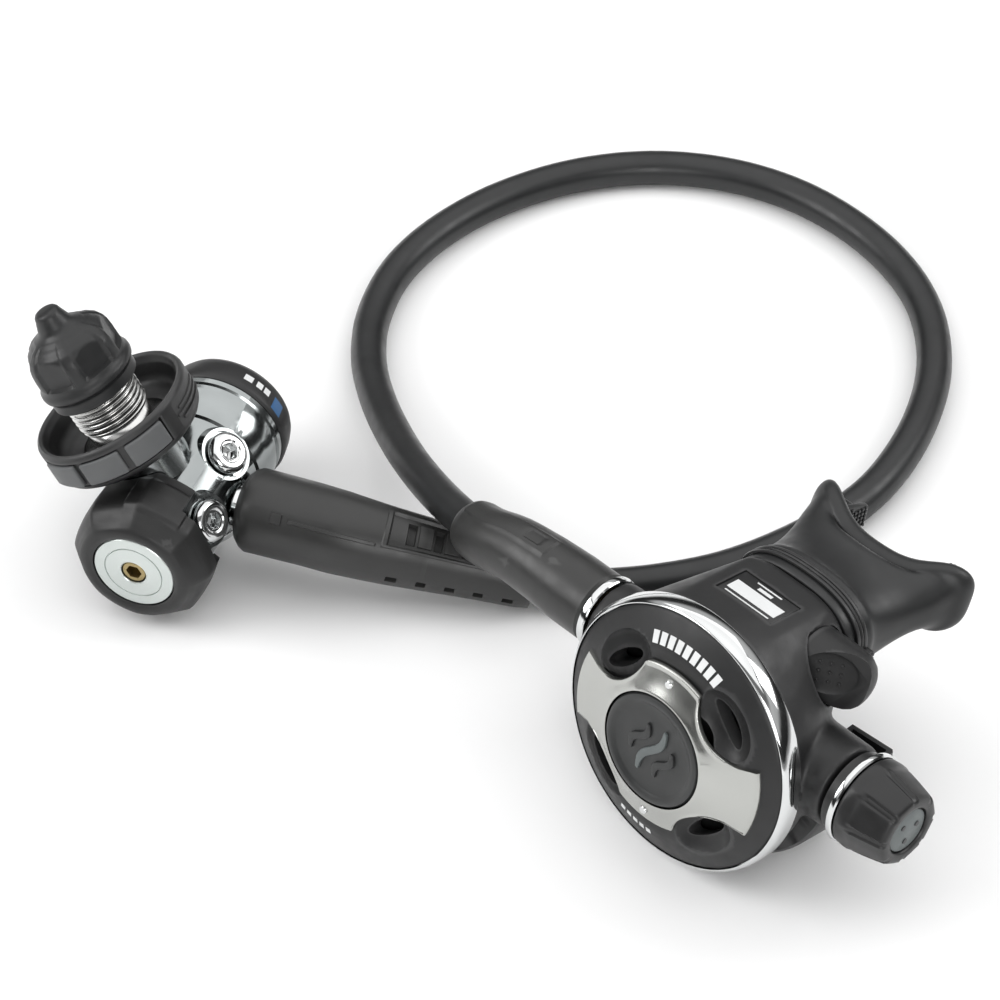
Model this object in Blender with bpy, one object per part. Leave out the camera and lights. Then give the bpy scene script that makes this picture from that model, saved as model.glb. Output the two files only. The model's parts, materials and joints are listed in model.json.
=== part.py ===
"""Scuba regulator set: a diaphragm first stage with a DIN connector, a hose and a second stage.

The set lies on the plane Z = 0 with its first stage at -X and its second stage at +X. Lengths in this
file are written in millimetres and MM turns them into metres when a mesh or an empty is made.
"""

import math

import bmesh
import bpy
from mathutils import Matrix, Vector

MM = 0.001
GAP = 0.3  # clearance between two pieces that touch
MANIFOLD_PIECES = ("case", "mouthpiece")  # the exact solver leaves these open

# Where the set stands: the middle of everything but the hose is over the origin.
SET_SHIFT = Vector((1.33, 78.67, 0.0))

# First stage. Its frame has X to the hose port, Y up and Z to the plug end, from the DIN axis.
FIRST_STAGE_AT = Vector((-97.6, -23.9, 22.0))
FIRST_STAGE_HEADING = math.radians(20)  # of the body's axis, clockwise from +Y
DIN_ANGLE = math.radians(120)  # round the body's axis from the hose port
PLUG_END_Z = 32.0
BODY_END_Z = -34.0
SEAT_BORE_R = 9.0
SPRING_BORE_R = 16.5
HOSE_PORT_Z = -5.3
HOSE_PORT_X = 18.2
DIN_SEAT = 23.6  # of the boss that the connector stands on, from the body's axis
THREAD_R = 11.45  # G5/8
THREAD_PITCH = 1.814
WHEEL_R = 25.0
WHEEL_LOW = 24.6
WHEEL_TOP = 39.5
PAD_MIDDLE = math.radians(15)
PAD_SPAN = math.radians(32)
PAD_STEP = math.radians(36)
CAP_LOW = 46.6
CAP_TOP = 76.0
CAP_R = 15.2
PLUG_HEAD_R = 6.4
PLUG_SHANK_R = 4.6

# Second stage. Its frame has X along the valve barrel to the knob, Y up and Z out of the cover.
SECOND_STAGE_AT = Vector((64.0, -125.2, 42.7))
BARREL_HEADING = math.radians(46)  # of the valve barrel, clockwise from +X
COVER_TILT = math.radians(11)
COVER_Y = -3.8
COVER_R = 41.3
RING_LOW = 13.8
BEZEL_R = 39.7
BUTTON_R = 17.3
BUTTON_Z = 31.0
DECK_Y = 34.9
BARREL_R = 9.0
BARREL_END = 46.0
LEFT_BOSS_R = 11.4
RIGHT_BOSS_R = 13.2
INLET_X = -47.3
KNOB_X = 50.5
KNOB_LENGTH = 18.6
TUBE_Y = 20.0
TUBE_END_Z = -20.0
LEVER_AXIS_Y = 23.7
LEVER_AXIS_Z = -10.4
LEVER_R = 9.3
LEVER_LOW = 17.8
TEE_R = 43.0
PIVOT_X = 16.0
PIVOT_Z = 7.0

# Hose
HOSE_R = 5.65
HOSE_SPACING = 24.0
FITTING_R = 7.6
FITTING_LENGTH = 17.0

# The hose's centre line from fitting to fitting: out of the first stage, down to the plane, once
# round, and up again over its own start into the second stage.
HOSE_ROUTE = (
    (-62.43, -31.07, 22.0),
    (-56.8, -33.12, 22.0),
    (-47.0, -36.6, 21.5),
    (-34.0, -38.8, 18.8),
    (-20.0, -39.8, 15.2),
    (-6.0, -41.2, 12.1),
    (8.0, -43.2, 9.3),
    (23.0, -44.4, 6.8),
    (38.0, -42.8, 5.7),
    (53.0, -40.2, 5.7),
    (68.0, -35.6, 5.7),
    (84.0, -27.4, 5.7),
    (101.0, -15.2, 5.7),
    (117.0, 2.0, 5.7),
    (130.0, 27.0, 5.7),
    (137.0, 55.0, 5.7),
    (135.4, 84.0, 5.7),
    (124.0, 110.5, 5.7),
    (104.0, 133.2, 5.7),
    (80.0, 147.2, 5.7),
    (53.0, 152.4, 5.7),
    (26.0, 148.6, 5.7),
    (1.0, 137.0, 5.7),
    (-19.0, 120.4, 5.7),
    (-33.0, 100.6, 5.8),
    (-40.2, 78.0, 6.4),
    (-41.4, 56.0, 8.4),
    (-38.4, 34.0, 12.2),
    (-32.6, 11.0, 17.6),
    (-25.0, -12.0, 24.2),
    (-15.4, -34.4, 31.4),
    (-4.2, -54.2, 38.0),
    (4.6, -63.6, 41.6),
    (13.36, -72.76, 42.7),
    (17.53, -77.08, 42.7),
)


# ---------------------------------------------------------------- scene and materials


def clear_scene():
    for obj in list(bpy.data.objects):
        bpy.data.objects.remove(obj, do_unlink=True)


def material(name, colour, roughness, metallic=0.0):
    made = bpy.data.materials.new(name)
    made.use_nodes = True
    shader = made.node_tree.nodes["Principled BSDF"]
    shader.inputs["Base Color"].default_value = (*colour, 1.0)
    shader.inputs["Roughness"].default_value = roughness
    shader.inputs["Metallic"].default_value = metallic
    made.diffuse_color = (*colour, 1.0)
    return made


def empty(name, parent, place):
    made = bpy.data.objects.new(name, None)
    made.empty_display_size = 10 * MM
    bpy.context.scene.collection.objects.link(made)
    made.parent = parent
    made.matrix_local = place
    return made


def frame(x_axis, y_axis, z_axis, at):
    """A placing matrix from three unit axes and a point in millimetres."""
    turn = Matrix((x_axis, y_axis, z_axis)).transposed().to_4x4()
    return Matrix.Translation(Vector(at) * MM) @ turn


def shift(x=0.0, y=0.0, z=0.0):
    return Matrix.Translation(Vector((x, y, z)) * MM)


def along_x(x=0.0, y=0.0, z=0.0):
    """A frame whose Z runs along the parent's X."""
    return shift(x, y, z) @ Matrix.Rotation(math.pi / 2, 4, "Y")


# ---------------------------------------------------------------- mesh building


def add_object(name, mesh_data, finish, parent, place=None):
    bmesh.ops.recalc_face_normals(mesh_data, faces=mesh_data.faces)
    bmesh.ops.scale(mesh_data, vec=(MM, MM, MM), verts=mesh_data.verts)
    mesh = bpy.data.meshes.new(name)
    mesh_data.to_mesh(mesh)
    mesh_data.free()
    mesh.shade_smooth()
    mesh.set_sharp_from_angle(angle=math.radians(35))
    made = bpy.data.objects.new(name, mesh)
    bpy.context.scene.collection.objects.link(made)
    made.parent = parent
    made.matrix_local = place if place else Matrix()
    if finish:
        mesh.materials.append(finish)
    else:
        made.hide_render = True
        made.display_type = "WIRE"
    return made


def bridge(mesh_data, first, second):
    """Faces between two rings of vertices; a ring of one vertex is a pole."""
    count = max(len(first), len(second))
    for i in range(count):
        j = (i + 1) % count
        corners = [first[i % len(first)], first[j % len(first)]]
        corners += [second[j % len(second)], second[i % len(second)]]
        mesh_data.faces.new(list(dict.fromkeys(corners)))


def turned(profile, segments=24):
    """A turned solid about Z from (radius, z) points. A profile that doesn't meet the axis is closed."""
    mesh_data = bmesh.new()
    rings = []
    for radius, z in profile:
        if radius == 0:
            rings.append([mesh_data.verts.new((0, 0, z))])
            continue
        ring = []
        for i in range(segments):
            angle = 2 * math.pi * i / segments
            ring.append(mesh_data.verts.new((radius * math.cos(angle), radius * math.sin(angle), z)))
        rings.append(ring)
    for first, second in zip(rings, rings[1:]):
        bridge(mesh_data, first, second)
    if profile[0][0] != 0:
        bridge(mesh_data, rings[-1], rings[0])
    return mesh_data


def rod(radius, low, high, segments=20):
    return turned([(0, low), (radius, low), (radius, high), (0, high)], segments)


def ring_of(outer, inner, low, high, segments=24):
    return turned([(inner, low), (outer, low), (outer, high), (inner, high)], segments)


def block(low, high):
    mesh_data = bmesh.new()
    size = [b - a for a, b in zip(low, high)]
    middle = [(a + b) / 2 for a, b in zip(low, high)]
    bmesh.ops.create_cube(mesh_data, size=1.0, matrix=Matrix.Translation(middle) @ Matrix.Diagonal((*size,
        1)))
    return mesh_data


def extruded(outline, low, high):
    """A prism along Z from an outline of (x, y) points."""
    mesh_data = bmesh.new()
    rings = [[mesh_data.verts.new((x, y, z)) for x, y in outline] for z in (low, high)]
    bridge(mesh_data, rings[0], rings[1])
    mesh_data.faces.new(rings[0])
    mesh_data.faces.new(rings[1])
    return mesh_data


def lofted(rings):
    """A solid through rings of points, with flat ends."""
    mesh_data = bmesh.new()
    made = [[mesh_data.verts.new(point) for point in ring] for ring in rings]
    for first, second in zip(made, made[1:]):
        bridge(mesh_data, first, second)
    mesh_data.faces.new(made[0])
    mesh_data.faces.new(made[-1])
    return mesh_data


def shell(outer, inner):
    """A tube wall between rings of points outside and rings inside, from one end to the other."""
    mesh_data = bmesh.new()
    rings = [[mesh_data.verts.new(point) for point in ring] for ring in outer + inner[::-1]]
    for first, second in zip(rings, rings[1:] + rings[:1]):
        bridge(mesh_data, first, second)
    return mesh_data


def hull_of(points):
    mesh_data = bmesh.new()
    for point in points:
        mesh_data.verts.new(point)
    bmesh.ops.convex_hull(mesh_data, input=mesh_data.verts)
    inside = [vert for vert in mesh_data.verts if not vert.link_faces]
    bmesh.ops.delete(mesh_data, geom=inside, context="VERTS")
    return mesh_data


def circle_points(radius, z, y=0.0, count=24):
    angles = [2 * math.pi * i / count for i in range(count)]
    return [(radius * math.cos(a), y + radius * math.sin(a), z) for a in angles]


def oval(half_width, half_height, y, z, power=2.4, count=18, bow=0.0):
    """A rounded oval in X and Y; bow draws its sides back along -Z."""
    points = []
    for i in range(count):
        angle = 2 * math.pi * i / count
        cosine, sine = math.cos(angle), math.sin(angle)
        x = half_width * math.copysign(abs(cosine) ** (2 / power), cosine)
        dy = half_height * math.copysign(abs(sine) ** (2 / power), sine)
        points.append((x, y + dy, z - bow * x * x))
    return points


def coil(radius, wire, low, high, turns, sides=4, steps_per_turn=9):
    """A coil spring about Z, as one round wire."""
    steps = int(turns * steps_per_turn)
    rings = []
    for i in range(steps + 1):
        angle = 2 * math.pi * i / steps_per_turn
        z = low + (high - low) * i / steps
        ring = []
        for k in range(sides):
            around = 2 * math.pi * k / sides
            reach = radius + wire * math.cos(around)
            ring.append((reach * math.cos(angle), reach * math.sin(angle), z + wire * math.sin(around)))
        rings.append(ring)
    return lofted(rings)


def combine(target, tool, operation="DIFFERENCE"):
    change = target.modifiers.new(tool.name, "BOOLEAN")
    change.operation = operation
    change.object = tool
    if target.name in MANIFOLD_PIECES:
        change.solver = "MANIFOLD"


def cut(target, name, mesh_data, place=None):
    combine(target, add_object(name, mesh_data, None, target.parent, place))


def join(target, name, mesh_data, place=None):
    combine(target, add_object(name, mesh_data, None, target.parent, place), "UNION")


# ---------------------------------------------------------------- hose line


def smooth_line(route, steps=12):
    """Points on a smooth curve through every point of the route."""
    ends = [2 * route[0] - route[1]] + route + [2 * route[-1] - route[-2]]
    line = []
    for a, b, c, d in zip(ends, ends[1:], ends[2:], ends[3:]):
        for step in range(steps):
            t = step / steps
            bend = (2 * a - 5 * b + 4 * c - d) * t * t + (3 * b - a - 3 * c + d) * t**3
            line.append(0.5 * (2 * b + (c - a) * t + bend))
    return line + [route[-1]]


def spaced(line, spacing):
    """The line again, with its points an equal distance apart."""
    travelled = [0.0]
    for a, b in zip(line, line[1:]):
        travelled.append(travelled[-1] + (b - a).length)
    count = round(travelled[-1] / spacing)
    made = []
    piece = 0
    for i in range(count + 1):
        wanted = travelled[-1] * i / count
        while piece < len(line) - 2 and travelled[piece + 1] < wanted:
            piece += 1
        share = (wanted - travelled[piece]) / (travelled[piece + 1] - travelled[piece])
        made.append(line[piece].lerp(line[piece + 1], share))
    return made


def sleeve(line, outside, bore, sides=14):
    """A hollow sleeve along the start of a line. Its two profiles hold (distance, radius) pairs."""
    stops = sorted({distance for distance, _ in outside + bore})
    points = with_stops(line, stops)
    outer, inner = [], []
    for i, (distance, point) in enumerate(points):
        ahead = (points[min(i + 1, len(points) - 1)][1] - points[max(i - 1, 0)][1]).normalized()
        across = ahead.cross(Vector((0, 0, 1))).normalized()
        upward = across.cross(ahead)
        angles = [2 * math.pi * k / sides for k in range(sides)]
        spokes = [across * math.cos(a) + upward * math.sin(a) for a in angles]
        outer.append([point + read_profile(outside, distance) * spoke for spoke in spokes])
        inner.append([point + read_profile(bore, distance) * spoke for spoke in spokes])
    return shell(outer, inner)


def with_stops(line, stops):
    """(distance, point) pairs along the line: its own points, and one at each stop, up to the last."""
    found = []
    travelled = 0.0
    for a, b in zip(line, line[1:]):
        length = (b - a).length
        for stop in stops:
            if travelled <= stop < travelled + length:
                found.append((stop, a.lerp(b, (stop - travelled) / length)))
        travelled += length
        if travelled < stops[-1]:
            found.append((travelled, b))
    found.sort(key=lambda pair: pair[0])
    return [pair for i, pair in enumerate(found) if not i or pair[0] - found[i - 1][0] > 0.05]


def read_profile(profile, distance):
    for (near, first), (far, second) in zip(profile, profile[1:]):
        if distance <= far:
            return first + (second - first) * (distance - near) / (far - near)
    return profile[-1][1]


# ---------------------------------------------------------------- first stage


def port_frame(angle, z, reach, lean=0.0):
    """A frame on the body's side whose Z points out of a port, leaning to the plug end."""
    out = Vector((math.cos(angle), math.sin(angle), 0))
    ahead = Vector((0, 0, 1))
    normal = (out * math.cos(lean) + ahead * math.sin(lean)).normalized()
    across = ahead.cross(normal).normalized()
    return frame(across, normal.cross(across), normal, out * reach + ahead * z)


PORTS = {
    "port_plug_upper": (math.radians(49), -11.0, 19.2, math.radians(10)),
    "port_plug_lower": (math.radians(29), 12.2, 18.6, math.radians(13)),
    "port_plug_rear": (math.radians(-62), -9.5, 18.7, math.radians(10)),
    "port_plug_left": (math.radians(196), -9.5, 18.7, math.radians(10)),
}


def body_profile(extra=0.0):
    """Half of the body's outside, from the plug end to the diaphragm end."""
    outside = ((15.2, 29.0), (16.6, 22.0), (17.4, 8.0), (18.4, -4.0), (19.8, -18.0), (20.7, -27.0))
    return [(radius + extra, z) for radius, z in outside]


def make_body(stage, din, metal):
    inside = [(SPRING_BORE_R, BODY_END_Z), (SPRING_BORE_R, -16.0), (11.0, -16.0), (11.0, -4.0)]
    inside += [(3.4, -4.0), (3.4, 2.0), (SEAT_BORE_R, 2.0), (SEAT_BORE_R, 29.0)]
    body = add_object("first_stage_body", turned(body_profile() + [(20.7, BODY_END_Z)] + inside, 24), metal,
        stage)
    boss = add_object("din_boss", rod(13.0, 12.5, DIN_SEAT - GAP, 20), None, din)
    combine(body, boss, "UNION")
    combine(body, add_object("din_bore", rod(7.0, 12.0, DIN_SEAT + 4), None, din))
    combine(body, add_object("din_inlet", rod(1.8, 3.0, 13.0, 12), None, din, shift(x=4.8)))
    for name, (angle, z, reach, lean) in PORTS.items():
        place = port_frame(angle, z, reach, lean)
        join(body, name + "_boss", rod(7.4, -2.4, -0.1, 14), place)
        cut(body, name + "_face", rod(7.7, 0.0, 12.0, 14), place)
        cut(body, name + "_hole", rod(PLUG_SHANK_R + GAP, -9.0, 1.0, 12), place)
    hose_port = port_frame(0.0, HOSE_PORT_Z, HOSE_PORT_X - GAP)
    cut(body, "hose_port_face", rod(8.2, 0.0, 12.0), hose_port)
    cut(body, "hose_port_hole", rod(5.2, -9.0, 1.0, 12), hose_port)


def make_port_plugs(stage, metal):
    for name, (angle, z, reach, lean) in PORTS.items():
        profile = [(0, -6.0), (PLUG_SHANK_R, -6.0), (PLUG_SHANK_R, GAP), (PLUG_HEAD_R, GAP)]
        profile += [(PLUG_HEAD_R, 2.0), (PLUG_HEAD_R - 0.9, 2.9), (0, 2.9)]
        place = port_frame(angle, z, reach, lean)
        plug = add_object(name, turned(profile, 16), metal, stage, place)
        cut(plug, name + "_socket", rod(2.9, -1.5, 4.0, 6), place)


def make_boot(stage, din, rubber):
    outer = [(13.1, 31.7), (14.4, 32.4), (17.2, 31.9), (21.2, 27.0), (22.0, 22.5), (21.4, 14.0),
        (20.6, 9.0)]
    inner = [(17.4 + GAP, 9.0), (16.6 + GAP, 22.0), (15.2 + GAP, 29.0 + GAP), (13.1, 29.0 + GAP)]
    boot = add_object("body_boot", turned(outer + inner, 28), rubber, stage)
    low, high = math.radians(-30), math.radians(62)
    steps = [low + (high - low) * i / 6 for i in range(7)]
    wedge = [(6.0, 0.0)] + [(30 * math.cos(a), 30 * math.sin(a)) for a in steps]
    cut(boot, "boot_window", extruded(wedge, 4.0, 20.0))
    combine(boot, add_object("boot_din_room", rod(13.4, 10.0, 30.0), None, din))


def make_end_plug(stage, metal, brass):
    spigot = SEAT_BORE_R - GAP
    profile = [(4.0, 24.0), (spigot, 24.0), (spigot, 29.6), (12.8, 29.6), (12.8, 31.6)]
    profile += [(4.0, PLUG_END_Z)]
    add_object("end_plug", turned(profile, 28), metal, stage)
    screw = add_object("end_plug_screw", rod(4.0 - GAP, 25.0, 31.4, 18), brass, stage)
    cut(screw, "end_plug_socket", rod(2.6, 27.5, 33.0, 6))


def make_regulating_parts(stage, finishes):
    steel, rubber, brass, plastic = (finishes[key] for key in ("steel", "rubber", "brass", "black"))
    seat = turned([(1.7, -1.0), (2.9, -1.0), (2.9, 2.3), (4.6, 2.3), (4.6, 4.0), (1.7, 4.4)], 16)
    add_object("inlet_seat", seat, steel, stage)
    poppet_axis = empty("poppet_axis", stage, Matrix())
    poppet = [(0, -15.2), (1.2, -15.2), (1.2, 4.8), (4.4, 5.4), (4.4, 7.6), (3.0, 7.6), (3.0, 13.0),
        (0, 13.0)]
    add_object("inlet_poppet", turned(poppet, 14), steel, poppet_axis)
    add_object("inlet_poppet_spring", coil(5.6, 0.5, 9.0, 22.6, 4.0), steel, stage)
    pad = [(0, -16.2), (9.0, -16.2), (9.0, -15.6), (3.0, -15.5), (0, -15.5)]
    add_object("thrust_pad", turned(pad, 16), steel, poppet_axis)
    add_object("main_diaphragm", rod(SPRING_BORE_R - GAP, -17.0, -16.5, 28), rubber, stage)
    clamp = [(13.0, -17.3), (SPRING_BORE_R - GAP, -17.3), (SPRING_BORE_R - GAP, -33.6), (10.4, -33.6)]
    clamp += [(10.4, -31.0), (13.0, -31.0)]
    add_object("diaphragm_clamp", turned(clamp, 24), brass, stage)
    add_object("main_spring", coil(10.4, 1.1, -29.6, -19.8, 3.0, 4, 12), steel, stage)
    add_object("spring_button", rod(11.8, -18.3, -17.4), steel, stage)
    adjuster = add_object("spring_adjuster", rod(10.0, -36.4, -31.0), brass, stage)
    cut(adjuster, "spring_adjuster_socket", rod(4.0, -38.0, -33.0, 6))
    outer_membrane = [(0, -38.6), (18.0, -38.6), (18.0, -38.0), (0, -38.0)]
    add_object("outer_diaphragm", turned(outer_membrane, 28), rubber, stage)
    ring = [(18.4, BODY_END_Z - GAP), (21.0, BODY_END_Z - GAP), (21.4, -35.6), (20.6, -41.0)]
    ring += [(18.6, -45.4), (14.0, -45.4), (14.0, -39.0), (18.4, -39.0)]
    add_object("diaphragm_ring", turned(ring, 24), plastic, stage)


def make_din(din, finishes):
    """The fixed bolt, then the connector, the wheel and its pads, which spin about it."""
    steel, rubber, chrome = (finishes[key] for key in ("steel", "rubber", "chrome"))
    bolt = [(3.0, 12.4), (6.6, 12.4), (6.6, 56.6), (8.0, 57.0), (8.0, 59.4), (7.0, 59.4)]
    bolt += [(7.0, 61.6), (8.0, 61.6), (8.0, 63.4), (3.0, 63.4)]
    add_object("din_retainer", turned(bolt, 16), chrome, din)
    seal = [(7.3, 59.8), (8.6, 59.8), (8.6, 61.2), (7.3, 61.2)]
    add_object("din_o_ring", turned(seal, 16), rubber, din)
    cone = [(0, 46.0), (1.4, 46.0), (2.6, 61.0), (0, 61.0)]
    add_object("din_filter", turned(cone, 12), finishes["brass"], din)

    connector = empty("connector_axis", din, Matrix())
    stem = [(7.0, WHEEL_LOW - 0.6), (14.0, WHEEL_LOW - 0.6), (14.0, 29.0), (THREAD_R - 1.0, 29.6)]
    stem += [(THREAD_R - 1.0, 35.2)]
    for ridge in range(7):
        low = 35.6 + ridge * THREAD_PITCH
        stem += [(THREAD_R, low + 0.7), (THREAD_R - 1.0, low + 1.5)]
    stem += [(THREAD_R - 0.5, 49.2), (THREAD_R - 0.5, 59.4), (8.3, 59.4), (8.3, 56.2), (7.0, 55.8)]
    add_object("din_stem", turned(stem, 16), chrome, connector)
    side = [(14.0 + GAP, WHEEL_LOW), (21.0, WHEEL_LOW), (24.2, 26.6), (WHEEL_R, 38.0), (24.6, WHEEL_TOP)]
    side += [(22.8, WHEEL_TOP), (22.4, 37.6), (21.6, 37.2), (21.0, 31.4), (14.0 + GAP, 29.4)]
    wheel = add_object("handwheel", turned(side, 32), finishes["black"], connector)
    for name, middle in (("front", PAD_MIDDLE), ("rear", PAD_MIDDLE + math.pi)):
        make_pads("handwheel_pads_" + name, wheel, connector, middle, finishes["grey"])


def make_pads(name, wheel, connector, middle, finish):
    """Three grip pads on one backing strip, let into the wheel's side."""
    def arc(inner, outer, from_angle, to_angle, low, high, steps):
        angles = [from_angle + (to_angle - from_angle) * i / steps for i in range(steps + 1)]
        outside = [(outer * math.cos(a), outer * math.sin(a)) for a in angles]
        inside = [(inner * math.cos(a), inner * math.sin(a)) for a in reversed(angles)]
        return extruded(outside + inside, low, high)

    half = PAD_STEP + PAD_SPAN / 2
    strip = arc(23.4, 24.2, middle - half, middle + half, 28.6, 37.0, 10)
    pads = add_object(name, strip, finish, connector)
    for k in (-1, 0, 1):
        start = middle + k * PAD_STEP - PAD_SPAN / 2
        join(pads, f"{name}_{k + 2}", arc(23.8, 25.5, start, start + PAD_SPAN, 28.6, 37.0, 3))
    room = arc(23.1, 27.0, middle - half - 0.02, middle + half + 0.02, 28.3, 37.3, 10)
    cut(wheel, name + "_room", room)


def make_dust_cap(din, finishes):
    """The cap turns on the thread and rises a pitch a turn, carried by the washer inside it."""
    travel = empty("cap_travel", din, Matrix())
    washer = ring_of(11.4, 9.2, 60.6, 61.8, 20)
    add_object("dust_cap_washer", washer, finishes["rubber"], travel)
    outer = [(13.9, CAP_LOW), (14.3, 50.4), (15.0, 51.2), (CAP_R, 53.0), (14.6, 54.6), (14.3, 56.0)]
    outer += [(13.2, 64.6), (9.0, 68.8), (5.0, 70.2), (4.2, 74.6), (3.0, CAP_TOP), (0, CAP_TOP)]
    inner = [(0, 65.5), (11.9, 65.5), (11.9, CAP_LOW)]
    cap = add_object("dust_cap", turned(inner + outer, 20), finishes["black"], travel)
    for k in range(6):
        angle = math.radians(60 * k + 30)
        place = Matrix.Rotation(angle, 4, "Z") @ shift(z=56.0) @ Matrix.Rotation(math.radians(-8), 4, "Y")
        cut(cap, f"cap_flat_{k + 1}", block((13.2, -9.0, -1.0), (24.0, 9.0, 20.0)), place)


# ---------------------------------------------------------------- hose and its ends


def make_hose(world, first, second, finishes):
    route = [Vector(point) for point in HOSE_ROUTE]
    line = [route[0]] + spaced(smooth_line(route[1:-1]), HOSE_SPACING) + [route[-1]]
    curve = bpy.data.curves.new("hose", "CURVE")
    curve.dimensions = "3D"
    curve.bevel_depth = HOSE_R * MM
    curve.bevel_resolution = 2
    curve.use_fill_caps = True
    spline = curve.splines.new("POLY")
    spline.points.add(len(line) - 1)
    for spot, point in zip(spline.points, line):
        spot.co = (*(point * MM), 1.0)
    curve.materials.append(finishes["hose"])
    hose = bpy.data.objects.new("hose", curve)
    bpy.context.scene.collection.objects.link(hose)
    hose.parent = world

    port = port_frame(0.0, HOSE_PORT_Z, HOSE_PORT_X)
    inlet = along_x(INLET_X - 2.3) @ Matrix.Rotation(math.pi, 4, "X")
    nut = [(2.5, 0.0), (FITTING_R, 0.0), (FITTING_R, 7.0), (6.4, 7.6), (6.4, FITTING_LENGTH),
        (2.5, FITTING_LENGTH)]
    add_object("hose_fitting_first", turned(nut, 16), finishes["chrome"], world, first @ port)
    add_object("hose_fitting_second", turned(nut, 16), finishes["chrome"], world, second @ inlet)

    bore = [(0.0, 8.0), (14.6, 8.0), (15.8, 6.3), (200.0, 6.3)]
    start = (first @ port @ Vector((0, 0, 2.6 * MM))) / MM
    outside = [(0.0, 11.8), (2.5, 13.0), (30.0, 12.7), (64.0, 10.6), (90.0, 9.2)]
    add_object("hose_protector_first", sleeve([start] + line, outside, bore[:3]), finishes["sleeve"], world)
    start = (second @ inlet @ Vector((0, 0, GAP * MM))) / MM
    outside = [(0.0, 11.0), (10.0, 11.0), (36.0, 9.6), (54.0, 9.0), (56.0, 8.4)]
    bore = [(0.0, 8.0), (16.9, 8.0), (18.1, 6.3)]
    add_object("hose_protector_second", sleeve([start] + line[::-1], outside, bore), finishes["sleeve"],
        world)


# ---------------------------------------------------------------- second stage


def case_points(extra=0.0):
    """Points whose hull is the outside of the case."""
    points = circle_points(40.4 + extra, 18.0, COVER_Y)
    points += circle_points(39.8 + extra, 8.0, COVER_Y)
    points += circle_points(29.0 + extra, -9.0, COVER_Y)
    points += oval(22.5 + extra, 15.0 + extra, TUBE_Y, TUBE_END_Z - extra)
    for x in (-15.0, 15.0):
        points += [(x, DECK_Y + extra, z) for z in (5.0, -17.0)]
    return points


def make_case(stage, plastic):
    case = add_object("case", hull_of(case_points()), plastic, stage)
    tube = [[oval(*size, TUBE_Y, z) for z in (TUBE_END_Z - GAP, -31.0)] for size in ((19.4, 12.4),
        (16.8, 9.8))]
    add_object("mouth_tube", shell(*tube), plastic, stage)
    join(case, "case_inlet_boss", rod(LEFT_BOSS_R, -25.5, 0.0), along_x(-20.5))
    join(case, "case_knob_boss", rod(RIGHT_BOSS_R, 0.0, 26.5), along_x(20.0))
    bowl = [(0, -5.0), (25.0, -5.0), (27.0, 2.0), (31.0, 8.0), (31.0, 14.0), (35.0, 14.0), (35.0, 19.5),
        (0, 19.5)]
    cut(case, "case_bowl", turned(bowl, 24), shift(y=COVER_Y))
    seat = ring_of(COVER_R + 3, 38.3, RING_LOW - GAP, 25.0)
    cut(case, "case_ring_room", seat, shift(y=COVER_Y))
    cut(case, "case_barrel_bore", rod(BARREL_R + GAP, -50.0, 50.0), along_x())
    cut(case, "case_air_way", lofted([oval(16.8, 9.8, TUBE_Y, z) for z in (-3.0, -33.0)]))
    down = Matrix.Rotation(math.pi / 2, 4, "X")
    cut(case, "case_exhaust_port", rod(5.6, 24.0, 42.0, 16), shift(z=-2.0) @ down)
    lever = along_x(0, LEVER_AXIS_Y, LEVER_AXIS_Z)
    cut(case, "case_lever_room", rod(LEVER_R + 0.4, LEVER_LOW - GAP, 50.0, 24), lever)
    cut(case, "case_lever_hole", rod(2.3, 10.0, 19.0, 12), lever)
    cut(case, "case_label_seat", block((-10.6, DECK_Y - 0.9, -10.4), (10.6, DECK_Y + 3, 2.4)))
    label = block((-10.3, DECK_Y - 0.6, -10.1), (10.3, DECK_Y + 0.1, 2.1))
    return case, label


def make_valve(stage, finishes):
    steel, rubber, brass = (finishes[key] for key in ("steel", "rubber", "brass"))
    barrel = add_object("valve_barrel", ring_of(BARREL_R, 6.2, -BARREL_END, BARREL_END - 0.5, 20), brass,
        stage, along_x())
    cut(barrel, "valve_barrel_slot", block((8.0, -5.0, 3.0), (21.0, 5.0, 12.0)))
    ring = [(7.0, -2.0), (11.3, -2.0), (11.6, -1.5), (11.6, 0.0), (11.3, 0.6), (7.0, 0.6)]
    add_object("inlet_ring", turned(ring, 24), finishes["chrome"], stage, along_x(INLET_X))
    seat = [(1.6, -32.0), (5.9, -32.0), (5.9, -22.0), (2.6, -21.0), (1.6, -21.0)]
    add_object("orifice_seat", turned(seat, 16), steel, stage, along_x())
    axis = empty("poppet_axis_second", stage, Matrix())
    poppet = [(0, -20.6), (4.8, -20.6), (4.8, -17.0), (2.6, -16.4), (2.6, 11.0), (1.6, 11.4), (1.6, 20.0),
        (0, 20.0)]
    add_object("demand_poppet", turned(poppet, 14), finishes["black"], axis, along_x())
    add_object("demand_spring", coil(4.2, 0.6, 12.4, 25.4, 4.0), steel, stage, along_x())
    screw_axis = empty("screw_axis", stage, Matrix())
    screw = [(0, 26.4), (5.9, 26.4), (5.9, 31.0), (3.0, 31.4), (3.0, 37.0), (0, 37.0)]
    add_object("adjusting_screw", turned(screw, 16), brass, screw_axis, along_x())

    pivot = empty("lever_pivot", stage, shift(PIVOT_X, 0, PIVOT_Z))
    side = [(0.8, -1.8), (-0.8, -1.8), (-1.2, 0.6), (-4.2, 3.6), (-15.0, 5.6), (-18.4, 5.6)]
    side += [(-18.4, 6.6), (-15.0, 6.6), (-3.6, 4.8), (0.0, 1.4)]
    arm = extruded(side, -2.6, 2.6)
    upright = frame((1, 0, 0), (0, 0, 1), (0, -1, 0), (0, -2.0, 0))
    add_object("demand_lever", arm, steel, pivot, upright)


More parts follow.
